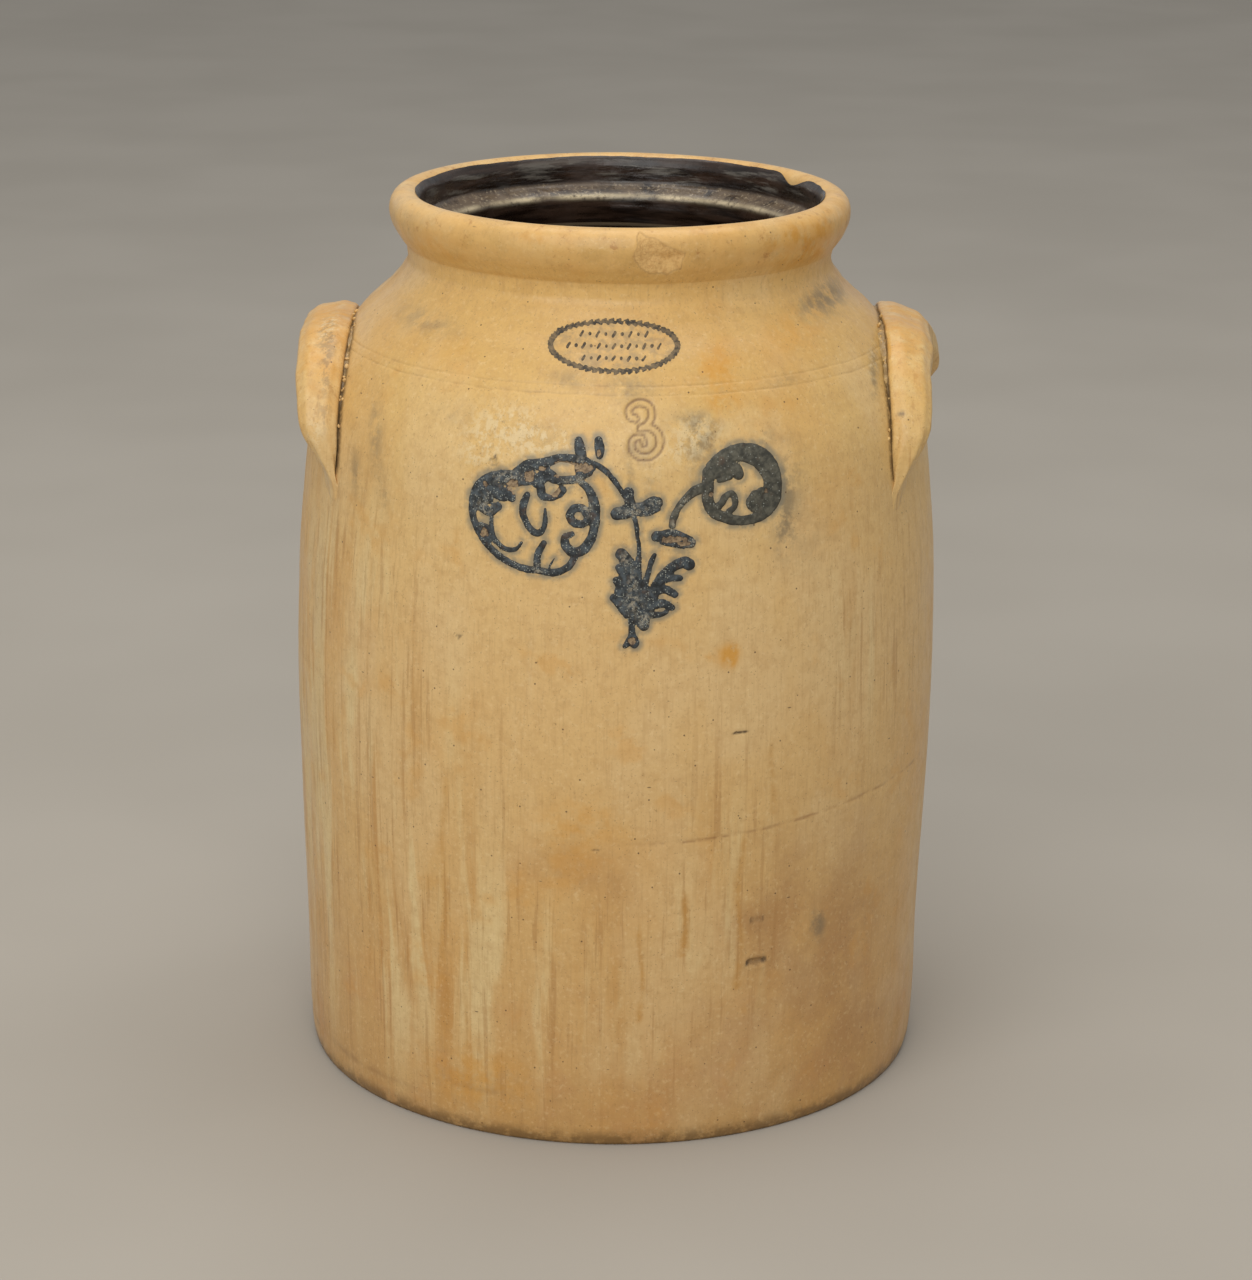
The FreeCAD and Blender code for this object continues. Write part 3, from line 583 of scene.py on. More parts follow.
# A notch in the slip's edge on the lip: angle round the jar, width and depth.
NOTCH_ANGLE = 2.06
NOTCH_WIDTH = 0.1
NOTCH_DEPTH = 4.5
INNER_RING_PITCH = 7.0


def build_lining(material):
    """Dark slip poured inside, from a ragged edge on the lip down to the floor."""
    outline = flow(INSIDE, 1.0)
    spacing = np.concatenate([[0], np.cumsum(np.hypot(*np.diff(outline, axis=0).T))])
    steps = np.append(in_bands((0, 34, 0.6), (34, 90, 1.6), (90, spacing[-1], 4.0)), spacing[-1])
    angles = np.radians(np.arange(0, 360, 1.5))
    run, angle = np.meshgrid(steps, angles, indexing="ij")
    probe = np.stack([80 * np.sin(angle), 80 * np.cos(angle), 0 * angle], axis=-1)
    ragged = np.clip(3.0 + 0.6 * drift(23, probe, 34.0), 2.2, 3.6) + 0.3 * drift(29, probe, 7.0)
    ragged += NOTCH_DEPTH * np.exp(-((angle - NOTCH_ANGLE) / NOTCH_WIDTH) ** 2)
    run = run + np.maximum(ragged, 1.0) * rise(run, 16.0, 0.0)
    radius = np.interp(run, spacing, outline[:, 0])
    level = np.interp(run, spacing, outline[:, 1])
    places = settle(radius, level, angle)
    rings = np.sin(2 * math.pi * run / INNER_RING_PITCH + angle) * rise(run, 20, 34) * rise(radius, 10, 60)
    ledge = rise(level, 329.4, 328.0) * rise(level, 323.4, 324.6) * rise(radius, 67.5, 69.0)
    lump = drift(31, places, 6.0, 0.6)
    push = -0.35 * rings + 0.1 * drift(37, places, 14.0, 0.4) - 0.35 * ledge * np.clip(lump, 0, 1)
    inward = np.stack([-np.sin(angle), np.cos(angle), 0 * angle], axis=-1)
    places = places - push[..., None] * inward
    edge = np.exp(-(np.hypot(radius - 68.9, level - 324.4) / 1.1) ** 2)
    masks = {
        "collar": rise(level, 328.5, 330.5) * rise(level, 339.0, 336.0),
        "wear": edge * np.clip(0.6 + 0.7 * drift(41, places, 16.0), 0, 1),
        "ledge": ledge,
        "thin": rise(run, 2.6, 0.0),
        "rings": rings,
    }
    faces = [quad[::-1] for quad in lathe_faces(*radius.shape)]
    piece = new_piece("brown_slip_lining", places.reshape(-1, 3), faces, material, masks)
    close_centre(piece)
    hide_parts("slip_lining")


# ---- handles

# Shape shared by the straps: radius of their bends, level of their feet, half thickness, spacing of
# sections along a leg, corners of a section and the power that squares it off, distance of the crown's
# middle from the axis, and number of crumbs beside each.
BEND = 41.0
FOOT_LEVEL = 225.0
HALF_THICK = 6.9
LEG_STEP = 1.1
STRAP_SIDES = 64
SQUARED_OFF = 2 / 2.7
CROWN_MIDDLE = 107.3
CRUMBS = 46

# Each strap as pulled: reach of its legs from the middle, height of the crown's middle, slope of the
# crown across its width, then (level, distance from the jar's axis) of its inner edge and of its outer
# edge on the near and far legs.
STRAPS = {
    "handle_right": {
        "side": 1, "seed": 61, "reach": 56.5, "crown": 286, "slope": 0.36,
        "inner": ((228, 92), (236, 97.5), (243, 102.4), (253, 101.2), (265, 100.2), (275, 99.7), (286, 99.2)),
        "near": ((225, 101), (232, 105.2), (239, 108.6), (248, 112), (256, 115), (262, 116.4), (270, 116.8),
                 (278, 116.6), (286, 119)),
        "far": ((225, 100), (232, 103), (240, 110), (250, 120.5), (257, 125.6), (264, 127.8), (270, 127.4),
                (277, 125.6), (286, 120.6)),
    },
    "handle_left": {
        "side": -1, "seed": 73, "reach": 53.4, "crown": 285.4, "slope": 0.14,
        "inner": ((228, 93), (236, 98.5), (243, 104.2), (255, 103.4), (266, 102.4), (275, 101.4),
                  (286, 100.2)),
        "near": ((225, 102), (232, 106.2), (239, 109.4), (248, 113.6), (256.8, 117.6), (261.3, 118.6),
                 (267, 119.2), (273, 119.8), (286, 120.8)),
        "far": ((225, 102), (232, 106), (240, 111), (250, 116.8), (258, 119.2), (266, 119.9), (275, 120.4),
                (286, 120.8)),
    },
}


def arch_line(reach, crown):
    """Centre line (y, z) of the strap: up the near leg, over the crown, down the far leg."""
    corner = crown - BEND
    flat = reach - BEND
    near_leg = [(-reach, level) for level in np.arange(FOOT_LEVEL, corner, LEG_STEP)]
    turns = np.linspace(math.pi, math.pi / 2, 60)
    half = near_leg + [(-flat + BEND * math.cos(t), corner + BEND * math.sin(t)) for t in turns]
    top = [(y, crown) for y in np.arange(-flat + LEG_STEP, flat, LEG_STEP)]
    return np.array(half + top + [(-y, z) for y, z in half[::-1]])


def feather(places):
    """Ease the strap's feet into the wall so that they die away without a crease."""
    x = places[..., 0]
    reach = np.hypot(x, places[..., 1])
    stand = reach - wall_radius(places[..., 2])
    width = 6.0 * rise(places[..., 2], 262.0, 240.0) + 0.01
    eased = np.where(stand < width, stand ** 2 / (2 * width), stand - width / 2)
    shift = np.where(stand > 0, eased - stand, 0) / reach
    places[..., 0] += x * shift
    places[..., 1] += places[..., 1] * shift


def build_handle(name, material):
    """Pulled strap bent into an arch and pressed on to the shoulder."""
    strap = STRAPS[name]
    side, seed = strap["side"], strap["seed"]
    line = arch_line(strap["reach"], strap["crown"])
    out_z, rise_y = direction(line)
    out_y = -rise_y
    turn = np.linspace(0, 2 * math.pi, STRAP_SIDES, endpoint=False)
    across, thick = (np.sign(wave) * np.abs(wave) ** SQUARED_OFF for wave in (np.cos(turn), np.sin(turn)))
    near, far, inner_edge = (monotone(*zip(*strap[key])) for key in ("near", "far", "inner"))
    farther = rise(line[:, 0], -12.0, 30.0)
    outer = near(line[:, 1]) * (1 - farther) + far(line[:, 1]) * farther
    inner = np.minimum(inner_edge(line[:, 1]), outer - 3.0)
    middle = ((inner + outer) / 2)[:, None]
    half = ((outer - inner) / 2)[:, None]
    x = middle + half * across[None, :]
    swell = HALF_THICK + 0.35 * np.sin(line[:, :1] / 17.0 + seed)
    crown = rise(out_z, 0.2, 1.0)[:, None]
    y = line[:, :1] + out_y[:, None] * swell * thick
    z = line[:, 1:] + out_z[:, None] * swell * thick - crown * strap["slope"] * (x - CROWN_MIDDLE)
    places = np.stack([x, y, z], axis=-1)
    outward = np.stack(
        [np.broadcast_to(across, x.shape), out_y[:, None] * thick, out_z[:, None] * thick], axis=-1)
    outward /= np.linalg.norm(outward, axis=-1)[..., None]
    dents = 0.5 * drift(seed, places, 26.0) + 0.16 * drift(seed + 1, places, 7.0)
    pulled = 0.16 * np.sin(turn * 9 + seed)[None, :] * np.ones_like(x)
    places = places + outward * (dents + pulled)[..., None]
    feather(places)
    rows = len(line)
    broad = np.clip(thick, 0, 1)[None, :] * np.ones_like(x)
    edge = rise(x - inner[:, None], 1.5, 0.1)
    masks = {
        # The strap's inner edge gets dirt and painted crease shade above level 246.
        "dirt_and_crease_shade": edge * rise(line[:, 1], 246.0, 251.0)[:, None],
        "inner_edge": rise(across, -0.5, -0.9)[None, :] * rise(line[:, 1], 242.0, 246.0)[:, None],
        "iron": 0.6 * crown * broad,
        "lip": 0.3 * crown * broad,
        "streaked": BACK_STREAKS * np.ones_like(x),
    }
    for title, marks in STRAP_MARKS[name].items():
        masks[title] = paint_marks(x, line[:, 1:] + 0 * x, marks) * broad * rise(line[:, :1], 0, -20)
    places[..., 0] = places[..., 0] * side + LEAN * places[..., 2]
    faces = lathe_faces(rows, STRAP_SIDES)
    faces += [list(range(STRAP_SIDES))[::-1], list(range((rows - 1) * STRAP_SIDES, rows * STRAP_SIDES))]
    if side < 0:
        faces = [face[::-1] for face in faces]
    piece = new_piece(name + "_strap", places.reshape(-1, 3), faces, material, masks)
    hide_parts(name)
    return piece


# Marks on the straps' broad faces: distance from the axis, level, half width, half height, strength.
STRAP_MARKS = {
    "handle_right": {
        "smear": ((108, 281, 3, 3.5, 0.5), (113, 252, 2, 8, 0.4)),
        "smoke": ((104.4, 264, 1.6, 0.9, 1.4), (112, 272, 2, 6, 0.3)),
        "scum": ((106, 262, 2.4, 4, 0.5),),
    },
    "handle_left": {
        "smear": ((109, 282, 4, 4, 1.3), (108, 274, 3, 5, 1), (108, 262, 4, 8, 0.7)),
        "smoke": ((107.5, 280, 2.4, 4, 0.5), (108.5, 268, 3, 2, 0.3)),
        "scum": ((108.5, 284, 4, 3, 1.4), (112, 256, 4, 6, 0.8)),
    },
}


def bed_strap(name, material):
    """Strip of clay squeezed out between the strap's inner edge and the shoulder, darkened with dirt and
    painted crease shade that deepens lower down.
    """
    strap = STRAPS[name]
    side = strap["side"]
    line = arch_line(strap["reach"], strap["crown"])
    line = line[line[:, 1] > 246.0]
    out_z, rise_y = direction(line)
    out_y = -rise_y
    inner = monotone(*zip(*strap["inner"]))(line[:, 1])
    across = np.linspace(0, 1, 9)
    sunk = HALF_THICK - 2.7 - 1.1 * np.sin(math.pi * across)[None, :]
    level = line[:, 1:] + out_z[:, None] * (sunk + strap["slope"] * 6.0)
    y = line[:, :1] + out_y[:, None] * sunk
    wall = np.sqrt(np.maximum(wall_radius(level) ** 2 - y ** 2, 1.0)) - 0.9
    start = inner[:, None] + 2.2 + 0 * level
    x = start + (np.minimum(wall, start - 0.4) - start) * across[None, :]
    places = np.stack([x, y, level], axis=-1)
    lumps = 0.55 * drift(strap["seed"] + 5, places, 3.4) + 0.35 * drift(strap["seed"] + 6, places, 9.0)
    places[..., 1] += out_y[:, None] * lumps
    places[..., 2] += out_z[:, None] * lumps
    # Painted crease shade with dirt: the strip darkens from level 284 down to 266.
    lower_crease_shade = rise(level, 284.0, 266.0) * 0.45 + 0.55
    masks = {"dirt_and_crease_shade": lower_crease_shade * (0.75 + 0.25 * np.sin(math.pi * across)[None, :]), "scum": 0.5 + 0 * lower_crease_shade}
    places[..., 0] = places[..., 0] * side + LEAN * places[..., 2]
    faces = lathe_faces(*x.shape, wrap=False)
    if side > 0:
        faces = [face[::-1] for face in faces]
    piece = new_piece(name + "_bedding", places.reshape(-1, 3), faces, material, masks)
    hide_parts(name)


def fill_crevice(name, material):
    """Crumbs of clay and kiln grit lodged where the strap's inner edge meets the shoulder."""
    strap = STRAPS[name]
    side = strap["side"]
    rng = np.random.RandomState(strap["seed"])
    inner_edge = monotone(*zip(*strap["inner"]))
    line = arch_line(strap["reach"], strap["crown"])
    line = line[(line[:, 0] < 4.0) & (line[:, 1] > 258.0)]
    vertices, faces = [], []
    for _ in range(CRUMBS):
        y, z = line[rng.randint(len(line))]
        climb = rng.uniform(0.2, 1.0)
        along = max(0.0, (z - 262.0) / 24.0)
        place = np.array([inner_edge(z) - rng.uniform(0.2, 1.6), y - HALF_THICK * (1 - along) * climb, 0.0])
        level = z + HALF_THICK * along * climb - 0.5
        reach = math.hypot(place[0], place[1])
        skin = float(wall_radius(level)) + rng.uniform(-0.1, 0.5)
        place *= max(skin / reach, 0.985)
        place[2] = level
        size = rng.uniform(0.35, 0.95)
        ball = bmesh.new()
        bmesh.ops.create_icosphere(ball, subdivisions=2, radius=1.0)
        shape = np.array([vertex.co for vertex in ball.verts])
        shape *= 1 + 0.35 * drift(rng.randint(1000), shape, 1.6)[:, None]
        shape = shape * size * rng.uniform(0.6, 1.2, 3) + place
        shape[:, 0] = shape[:, 0] * side + LEAN * shape[:, 2]
        first = len(vertices)
        faces += [[first + vertex.index for vertex in face.verts] for face in ball.faces]
        vertices += shape.tolist()
        ball.free()
    piece = new_piece(name + "_crumbs", vertices, faces, material, {"scum": 0.4 * np.ones(len(vertices))})
    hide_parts(name)


# ---- raised brushwork

# Heights over the clay: of the coats' tops, of their thin edge, and of their hidden underside.
COBALT_HEIGHT = 0.34
STAMP_HEIGHT = 0.12
EDGE_HEIGHT = 0.02
SUNK = -0.3


def raised_coat(name, strokes, material, height, replaced, cell=0.36):
    """Closed skin that follows the strokes: domed at the edge, pitted on top, sunk a little into the clay."""
    points = np.vstack([np.array(stroke) for stroke in strokes])
    reach = 2.5 + points[:, 2].max()
    xs = np.arange(points[:, 0].min() - reach, points[:, 0].max() + reach, cell)
    zs = np.arange(points[:, 1].min() - reach, points[:, 1].max() + reach, cell)
    z, x = np.meshgrid(zs, xs, indexing="ij")
    probe = np.stack([x, 0 * x, z], axis=-1)
    wobble = 0.16 * drift(43, probe, 2.2) + 0.12 * drift(47, probe, 5.0)
    inside = -(strokes_distance(x, z, strokes) + wobble)
    slope_z, slope_x = np.gradient(inside, cell)
    steep = np.maximum(slope_x ** 2 + slope_z ** 2, 0.2)
    solid = (inside[:-1, :-1] > 0) | (inside[1:, :-1] > 0) | (inside[:-1, 1:] > 0) | (inside[1:, 1:] > 0)
    outside = inside <= 0
    pull = np.clip(inside / steep, -1.2 * cell, 0) * outside
    x = x - slope_x * pull
    z = z - slope_z * pull
    inside = np.maximum(inside, 0)
    used = np.zeros(x.shape, bool)
    for dz in (0, 1):
        for dx in (0, 1):
            used[dz:solid.shape[0] + dz, dx:solid.shape[1] + dx] |= solid
    index = np.full(x.shape, -1)
    index[used] = np.arange(used.sum())
    px, pz, depth = x[used], z[used], inside[used]
    radius = wall_radius(pz)
    angle = np.arcsin(np.clip(px / radius, -1, 1))
    slope = wall_radius(pz + 0.5) - wall_radius(pz - 0.5)
    normal_radius = 1 / np.sqrt(1 + slope ** 2)
    normal_level = -slope * normal_radius
    dome = rise(depth, -0.05, 0.6)
    flat = np.stack([px, 0 * px, pz], axis=-1)
    grain = 0.5 + 0.5 * drift(53, flat, 1.7)
    torn = 0.34 * drift(59, flat, 2.6) + 0.26 * drift(67, flat, 1.1)
    bare = np.zeros(len(px))
    for spot in BARE_SPOTS:
        bare = np.maximum(bare, rise(oval_distance(px, pz, *spot) + torn, 1.12, 0.88))
    frost = paint_marks(px, pz, [(*spot, 1) for spot in FROST_SPOTS])
    lift = height * dome * (0.62 + 0.5 * grain) * (1 - 0.75 * bare) + EDGE_HEIGHT
    top, _ = clay_surface(radius, pz, angle, normal_radius, normal_level, lift)
    bottom, _ = clay_surface(radius, pz, angle, normal_radius, normal_level, SUNK)
    rows, columns = np.nonzero(solid)
    quads = np.stack([index[rows, columns], index[rows, columns + 1],
                      index[rows + 1, columns + 1], index[rows + 1, columns]], axis=1)
    count = len(px)
    faces = quads.tolist() + (quads[:, ::-1] + count).tolist()
    edges = {edge: None for quad in quads.tolist() for edge in zip(quad, quad[1:] + quad[:1])}
    for a, b in edges:
        if (b, a) not in edges:
            faces.append([b, a, a + count, b + count])
    masks = {"depth": depth, "bare": bare, "frost": frost}
    masks = {title: np.tile(values, 2) for title, values in masks.items()}
    piece = new_piece(name, np.vstack([top, bottom]), faces, material, masks)
    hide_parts(replaced)


# ---- materials

def paint(red, green, blue):
    """Linear colour with alpha from 0-255 display values."""
    channels = [channel / 255.0 for channel in (red, green, blue)]
    linear = [c / 12.92 if c <= 0.04045 else ((c + 0.055) / 1.055) ** 2.4 for c in channels]
    return (*linear, 1.0)


class Recipe:
    """A material under construction. Wavelengths, stretches and depths are in mm of the design.

    A grain is a noise's (wavelength, detail, roughness, stretch, distortion), from the left as far as
    needed. A span is a smooth step's (low, high, value at low, value at high)."""

    def __init__(self, name):
        self.material = bpy.data.materials.new(name)
        self.material.use_nodes = True
        self.tree = self.material.node_tree
        self.shader = self.tree.nodes["Principled BSDF"]
        self.colour = None
        metres = self.add("ShaderNodeTexCoord").outputs["Object"]
        scaled = self.add("ShaderNodeVectorMath", {"Vector": metres}, operation="SCALE")
        scaled.inputs["Scale"].default_value = 1 / MM
        self.place = scaled.outputs["Vector"]

    def add(self, kind, inputs=None, **settings):
        made = self.tree.nodes.new(kind)
        for key, setting in settings.items():
            setattr(made, key, setting)
        for key, source in (inputs or {}).items():
            self.feed(made.inputs[key], source)
        return made

    def feed(self, socket, source):
        if isinstance(source, bpy.types.NodeSocket):
            self.tree.links.new(source, socket)
        else:
            socket.default_value = source

    def where(self, stretch):
        if stretch is None:
            return self.place
        return self.add("ShaderNodeVectorMath", {0: self.place, 1: stretch}, operation="MULTIPLY").outputs[0]

    def noise(self, wavelength, detail=3, roughness=0.55, stretch=None, distortion=0):
        return self.add("ShaderNodeTexNoise", {
            "Vector": self.where(stretch), "Scale": 1.0 / wavelength, "Detail": detail,
            "Roughness": roughness, "Distortion": distortion,
        }).outputs["Fac"]

    def cells(self, wavelength, stretch=None):
        """Distance to the nearest of many scattered points, and that point's random number."""
        made = self.add("ShaderNodeTexVoronoi", {"Vector": self.where(stretch), "Scale": 1.0 / wavelength})
        pick = self.add("ShaderNodeSeparateColor", {0: made.outputs["Color"]})
        return made.outputs["Distance"], pick.outputs[0]

    def level(self, value, low, high, start=0, end=1):
        return self.add("ShaderNodeMapRange", {
            "Value": value, "From Min": low, "From Max": high, "To Min": start, "To Max": end,
        }, interpolation_type="SMOOTHSTEP").outputs["Result"]

    def math(self, operation, first, second):
        return self.add("ShaderNodeMath", {0: first, 1: second}, operation=operation).outputs[0]

    def times(self, first, second):
        return self.math("MULTIPLY", first, second)

    def mix(self, factor, first, second):
        return self.add("ShaderNodeMix", {0: factor, 6: first, 7: second}, data_type="RGBA").outputs[2]

    def mask(self, name):
        return self.add("ShaderNodeAttribute", attribute_name=name).outputs["Fac"]

    def patches(self, grain, span):
        """Soft-edged patches of noise."""
        return self.level(self.noise(*grain), *span)

    def broken(self, mask, grain, span):
        """A painted mask broken up by noise."""
        return self.times(self.mask(mask), self.patches(grain, span))

    def flecks(self, wavelength, across, kept, stretch=None):
        """Small dots: across is the span from a dot's edge to its middle, kept the span that picks dots."""
        distance, pick = self.cells(wavelength, stretch)
        return self.times(self.level(distance, *across), self.level(pick, *kept))

    def coats(self, *rows):
        """Lay tints over the colour: strength, share, tint, and the strengths where it starts and is full."""
        for strength, share, tint, *ends in rows:
            amount = self.level(strength, *(ends or (0, 1)), 0, share)
            self.colour = self.mix(amount, self.colour, paint(*tint))

    def washes(self, *rows):
        """Lay tints over the colour in plain proportion: strength, share, tint."""
        for strength, share, tint in rows:
            self.colour = self.mix(self.times(strength, share), self.colour, paint(*tint))

    def bump(self, *layers):
        """Chain of bumps from (height socket, depth in mm) pairs."""
        normal = None
        for source, depth in layers:
            made = self.add("ShaderNodeBump", {"Height": source, "Strength": 1, "Distance": depth * MM})
            if normal:
                self.tree.links.new(normal, made.inputs["Normal"])
            normal = made.outputs["Normal"]
        self.tree.links.new(normal, self.shader.inputs["Normal"])

    def finish(self, roughness, specular):
        self.feed(self.shader.inputs["Base Color"], self.colour)
        self.feed(self.shader.inputs["Roughness"], roughness)
        self.shader.inputs["IOR"].default_value = 1.5
        self.shader.inputs["Specular IOR Level"].default_value = specular
        return self.material


# Colour of the clay up the wall, as (share of the jar's height, display colour).
CLAY_RAMP = (
    (0, (198, 154, 94)), (0.12, (208, 166, 106)), (0.3, (216, 176, 114)), (0.55, (222, 184, 124)),
    (0.72, (222, 185, 122)), (0.8, (220, 181, 112)), (0.87, (212, 171, 100)), (0.93, (226, 184, 112)),
    (0.965, (210, 168, 98)), (1, (214, 172, 106)),
)


def stoneware(name):
    """Buff clay under a thin uneven salt glaze, with kiln drips, smoke, iron spots and old dirt, and painted
    crease shade along the straps.
    """
    look = Recipe(name)
    z = look.add("ShaderNodeSeparateXYZ", {0: look.place}).outputs["Z"]
    ramp = look.add("ShaderNodeValToRGB", {"Fac": look.math("DIVIDE", z, JAR_HEIGHT)})
    while len(ramp.color_ramp.elements) < len(CLAY_RAMP):
        ramp.color_ramp.elements.new(0.5)
    for element, (position, colour) in zip(ramp.color_ramp.elements, CLAY_RAMP):
        element.position = position
        element.color = paint(*colour)
    look.colour = ramp.outputs["Color"]

    streaked = look.mask("streaked")
    streaks = look.times(look.patches((9, 4, 0.6, (1, 1, 0.045), 0.5), (0.48, 0.66)),
                         look.patches((26, 3, 0.6, (1, 1, 0.4)), (0.34, 0.56)))
    washed = look.patches((15, 4, 0.6, (1, 1, 0.1), 0.5), (0.44, 0.62))
    narrow = look.patches((2.6, 3, 0.6, (1, 1, 0.035)), (0.53, 0.68))
    scum = look.broken("scum", (2.8, 5, 0.72, (1, 1, 0.7)), (0.42, 0.58))
    look.coats(
        # Warm and pale clouds, then brown stain and blush low on the wall.
        (look.patches((70, 3, 0.55), (0.44, 0.66)), 0.3, (212, 158, 86)),
        (look.patches((48, 3, 0.55, (1, 1, 0.5)), (0.46, 0.66)), 0.28, (228, 200, 152)),
        (look.broken("stain", (19, 6, 0.66), (0.28, 0.66, 0.35, 1.15)), 0.58, (164, 116, 72)),
        (look.times(look.level(z, 110, 10), look.patches((30, 4, 0.6), (0.45, 0.66))), 0.3, (184, 132, 88)),
        # Upright drips, from broad to hair-thin.
        (look.times(streaks, streaked), 0.62, (188, 132, 60)),
        (look.times(washed, streaked), 0.7, (228, 204, 150)),
        (look.times(narrow, look.level(streaked, 0, 0.6, 0.3, 1)), 0.42, (168, 120, 66)),
        (look.noise(0.9, 2, 0.6, (1, 1, 0.06)), 0.22, (180, 140, 88), 0.5, 0.72),
        (look.broken("run", (6, 3), (0.3, 0.55, 0.5, 1)), 0.74, (190, 136, 60), 0.1, 1),
        # Mottling of the salt glaze.
        (look.noise(5, 4, 0.62), 0.26, (186, 142, 84), 0.42, 0.7),
        (look.noise(1.7, 3, 0.62), 0.3, (240, 212, 160), 0.52, 0.76),
        (look.noise(1.3, 3, 0.62, (1, 1, 0.8)), 0.34, (164, 124, 74), 0.54, 0.78),
        # Iron, smoke, scum and handling.
        (look.broken("iron", (7, 4, 0.62), (0.28, 0.6)), 0.8, (212, 148, 46)),
        (look.times(look.patches((30,), (0.56, 0.7)), look.patches((6,), (0.3, 0.6))), 0.3, (212, 152, 66)),
        (look.broken("smoke", (6, 5, 0.65), (0.3, 0.6, 0.15, 1.1)), 0.7, (116, 104, 84)),
        (scum, 0.46, (232, 214, 172)),
        (look.broken("scum", (2.2, 4, 0.7), (0.56, 0.7)), 0.4, (150, 124, 86)),
        (look.broken("smear", (3.2, 5, 0.7, (1, 1, 0.5)), (0.44, 0.62)), 0.55, (140, 114, 78)),
        # Colour bled round the brushwork and the stamp.
        (look.broken("halo", (4, 2), (0.3, 0.6, 0.3, 0.72)), 1, (132, 126, 108)),
        (look.broken("stamp_wash", (3, 3), (0.35, 0.65, 0.12, 0.5)), 1, (142, 124, 94)),
        # Specks.
        (look.noise(0.8, 2, 0.5), 0.5, (122, 88, 48), 0.66, 0.74),
        (look.flecks(5.2, (0.09, 0.04), (0.5, 0.56)), 0.8, (78, 54, 32)),
        (look.flecks(11, (0.05, 0.02), (0.55, 0.6), (0.5, 0.5, 1.6)), 0.75, (82, 58, 36)),
        # Lip, foot and the cut lines.
        (look.broken("lip", (9, 4, 0.6), (0.34, 0.6)), 0.45, (230, 184, 112)),
        (look.broken("lip", (5, 5, 0.7), (0.58, 0.7)), 0.55, (170, 116, 60)),
        (look.broken("foot", (6, 4, 0.7), (0.32, 0.6, 0.35, 1)), 0.8, (118, 88, 48)),
        (look.broken("foot_line", (16,), (0.38, 0.58)), 0.45, (126, 88, 50)),
        (look.broken("scratch", (8, 3), (0.34, 0.56)), 0.75, (140, 92, 52)),
        (look.broken("line", (10, 3), (0.36, 0.6, 0.15, 0.8)), 0.62, (140, 108, 66)),
        (look.mask("numeral"), 0.72, (120, 86, 56)),
    )
    chip = look.mask("chip")
    bare = look.mix(look.patches((1.3, 4, 0.7), (0.38, 0.66)), paint(232, 190, 124), paint(202, 156, 96))
    look.colour = look.mix(look.times(chip, 0.7), look.colour, bare)
    look.coats(
        (look.times(look.level(chip, 0.05, 0.5), look.level(chip, 0.95, 0.6)), 0.22, (132, 94, 54)),
        (look.broken("pit", (1.5, 3, 0.7), (0.25, 0.5, 0.4, 1)), 0.88, (60, 44, 30)),
        # Dirt and painted crease shade by the straps' inner edges, on the wall and the bedding strips.
        (look.broken("dirt_and_crease_shade", (2.6, 4, 0.7), (0.22, 0.55, 0.3, 1.1)), 0.86, (74, 54, 34)),
    )

    rough = look.patches((14, 3, 0.6), (0.35, 0.68, 0.3, 0.46))
    rough = look.math("ADD", rough, look.times(chip, 0.35))
    rough = look.math("ADD", rough, look.times(look.mask("scum"), 0.1))
    look.bump(
        (look.noise(2.2), 0.14),
        (look.noise(0.8, 2, 0.5), 0.04),
        (look.noise(12, 2, 0.5, (0.4, 0.4, 1.6)), 0.16),
        (scum, 0.08),
        (look.times(chip, look.noise(1.2, 4, 0.7)), 0.35),
    )
    return look.finish(rough, 0.46)


def brown_slip():
    """Near-black iron slip with turned rings, worn to tan along the ledge's edge; the pale streaks inside the
    collar are painted reflection and the pale lines on the ring crests painted highlights.
    """
    look = Recipe("brown_slip_glaze")
    flat = (0.35, 0.35, 2.6)
    tone = look.patches((9, 4, 0.6, flat), (0.36, 0.66))
    look.colour = look.mix(tone, paint(26, 16, 10), paint(62, 46, 36))
    # Painted reflection: pale grey horizontal streaks of the softbox on the glossy slip inside the collar.
    painted_reflection = look.times(look.patches((7, 5, 0.65, flat), (0.5, 0.66)), look.mask("collar"))
    look.washes(
        (painted_reflection, 0.55, (128, 122, 112)),
        # Painted highlights: pale lines on the crests of the turned rings.
        (look.level(look.mask("rings"), 0.5, 1), 0.75, (134, 116, 92)),
        (look.broken("ledge", (8, 4, 0.65), (0.3, 0.58)), 0.66, (116, 97, 74)),
        (look.broken("ledge", (1.6, 4, 0.7), (0.54, 0.66)), 0.5, (184, 166, 136)),
    )
    wear = look.broken("wear", (2.6, 4, 0.7), (0.3, 0.52, 0.2, 1))
    look.colour = look.mix(wear, look.colour, paint(210, 192, 156))
    look.washes((look.broken("thin", (3.6, 4, 0.6), (0.3, 0.6, 0.4, 1)), 0.7, (120, 74, 36)))
    look.bump(
        (look.noise(2.6), 0.14),
        (look.noise(7, 3, 0.5, (0.3, 0.3, 2.2)), 0.35),
    )
    return look.finish(look.patches((9,), (0.35, 0.65, 0.2, 0.4)), 0.5)


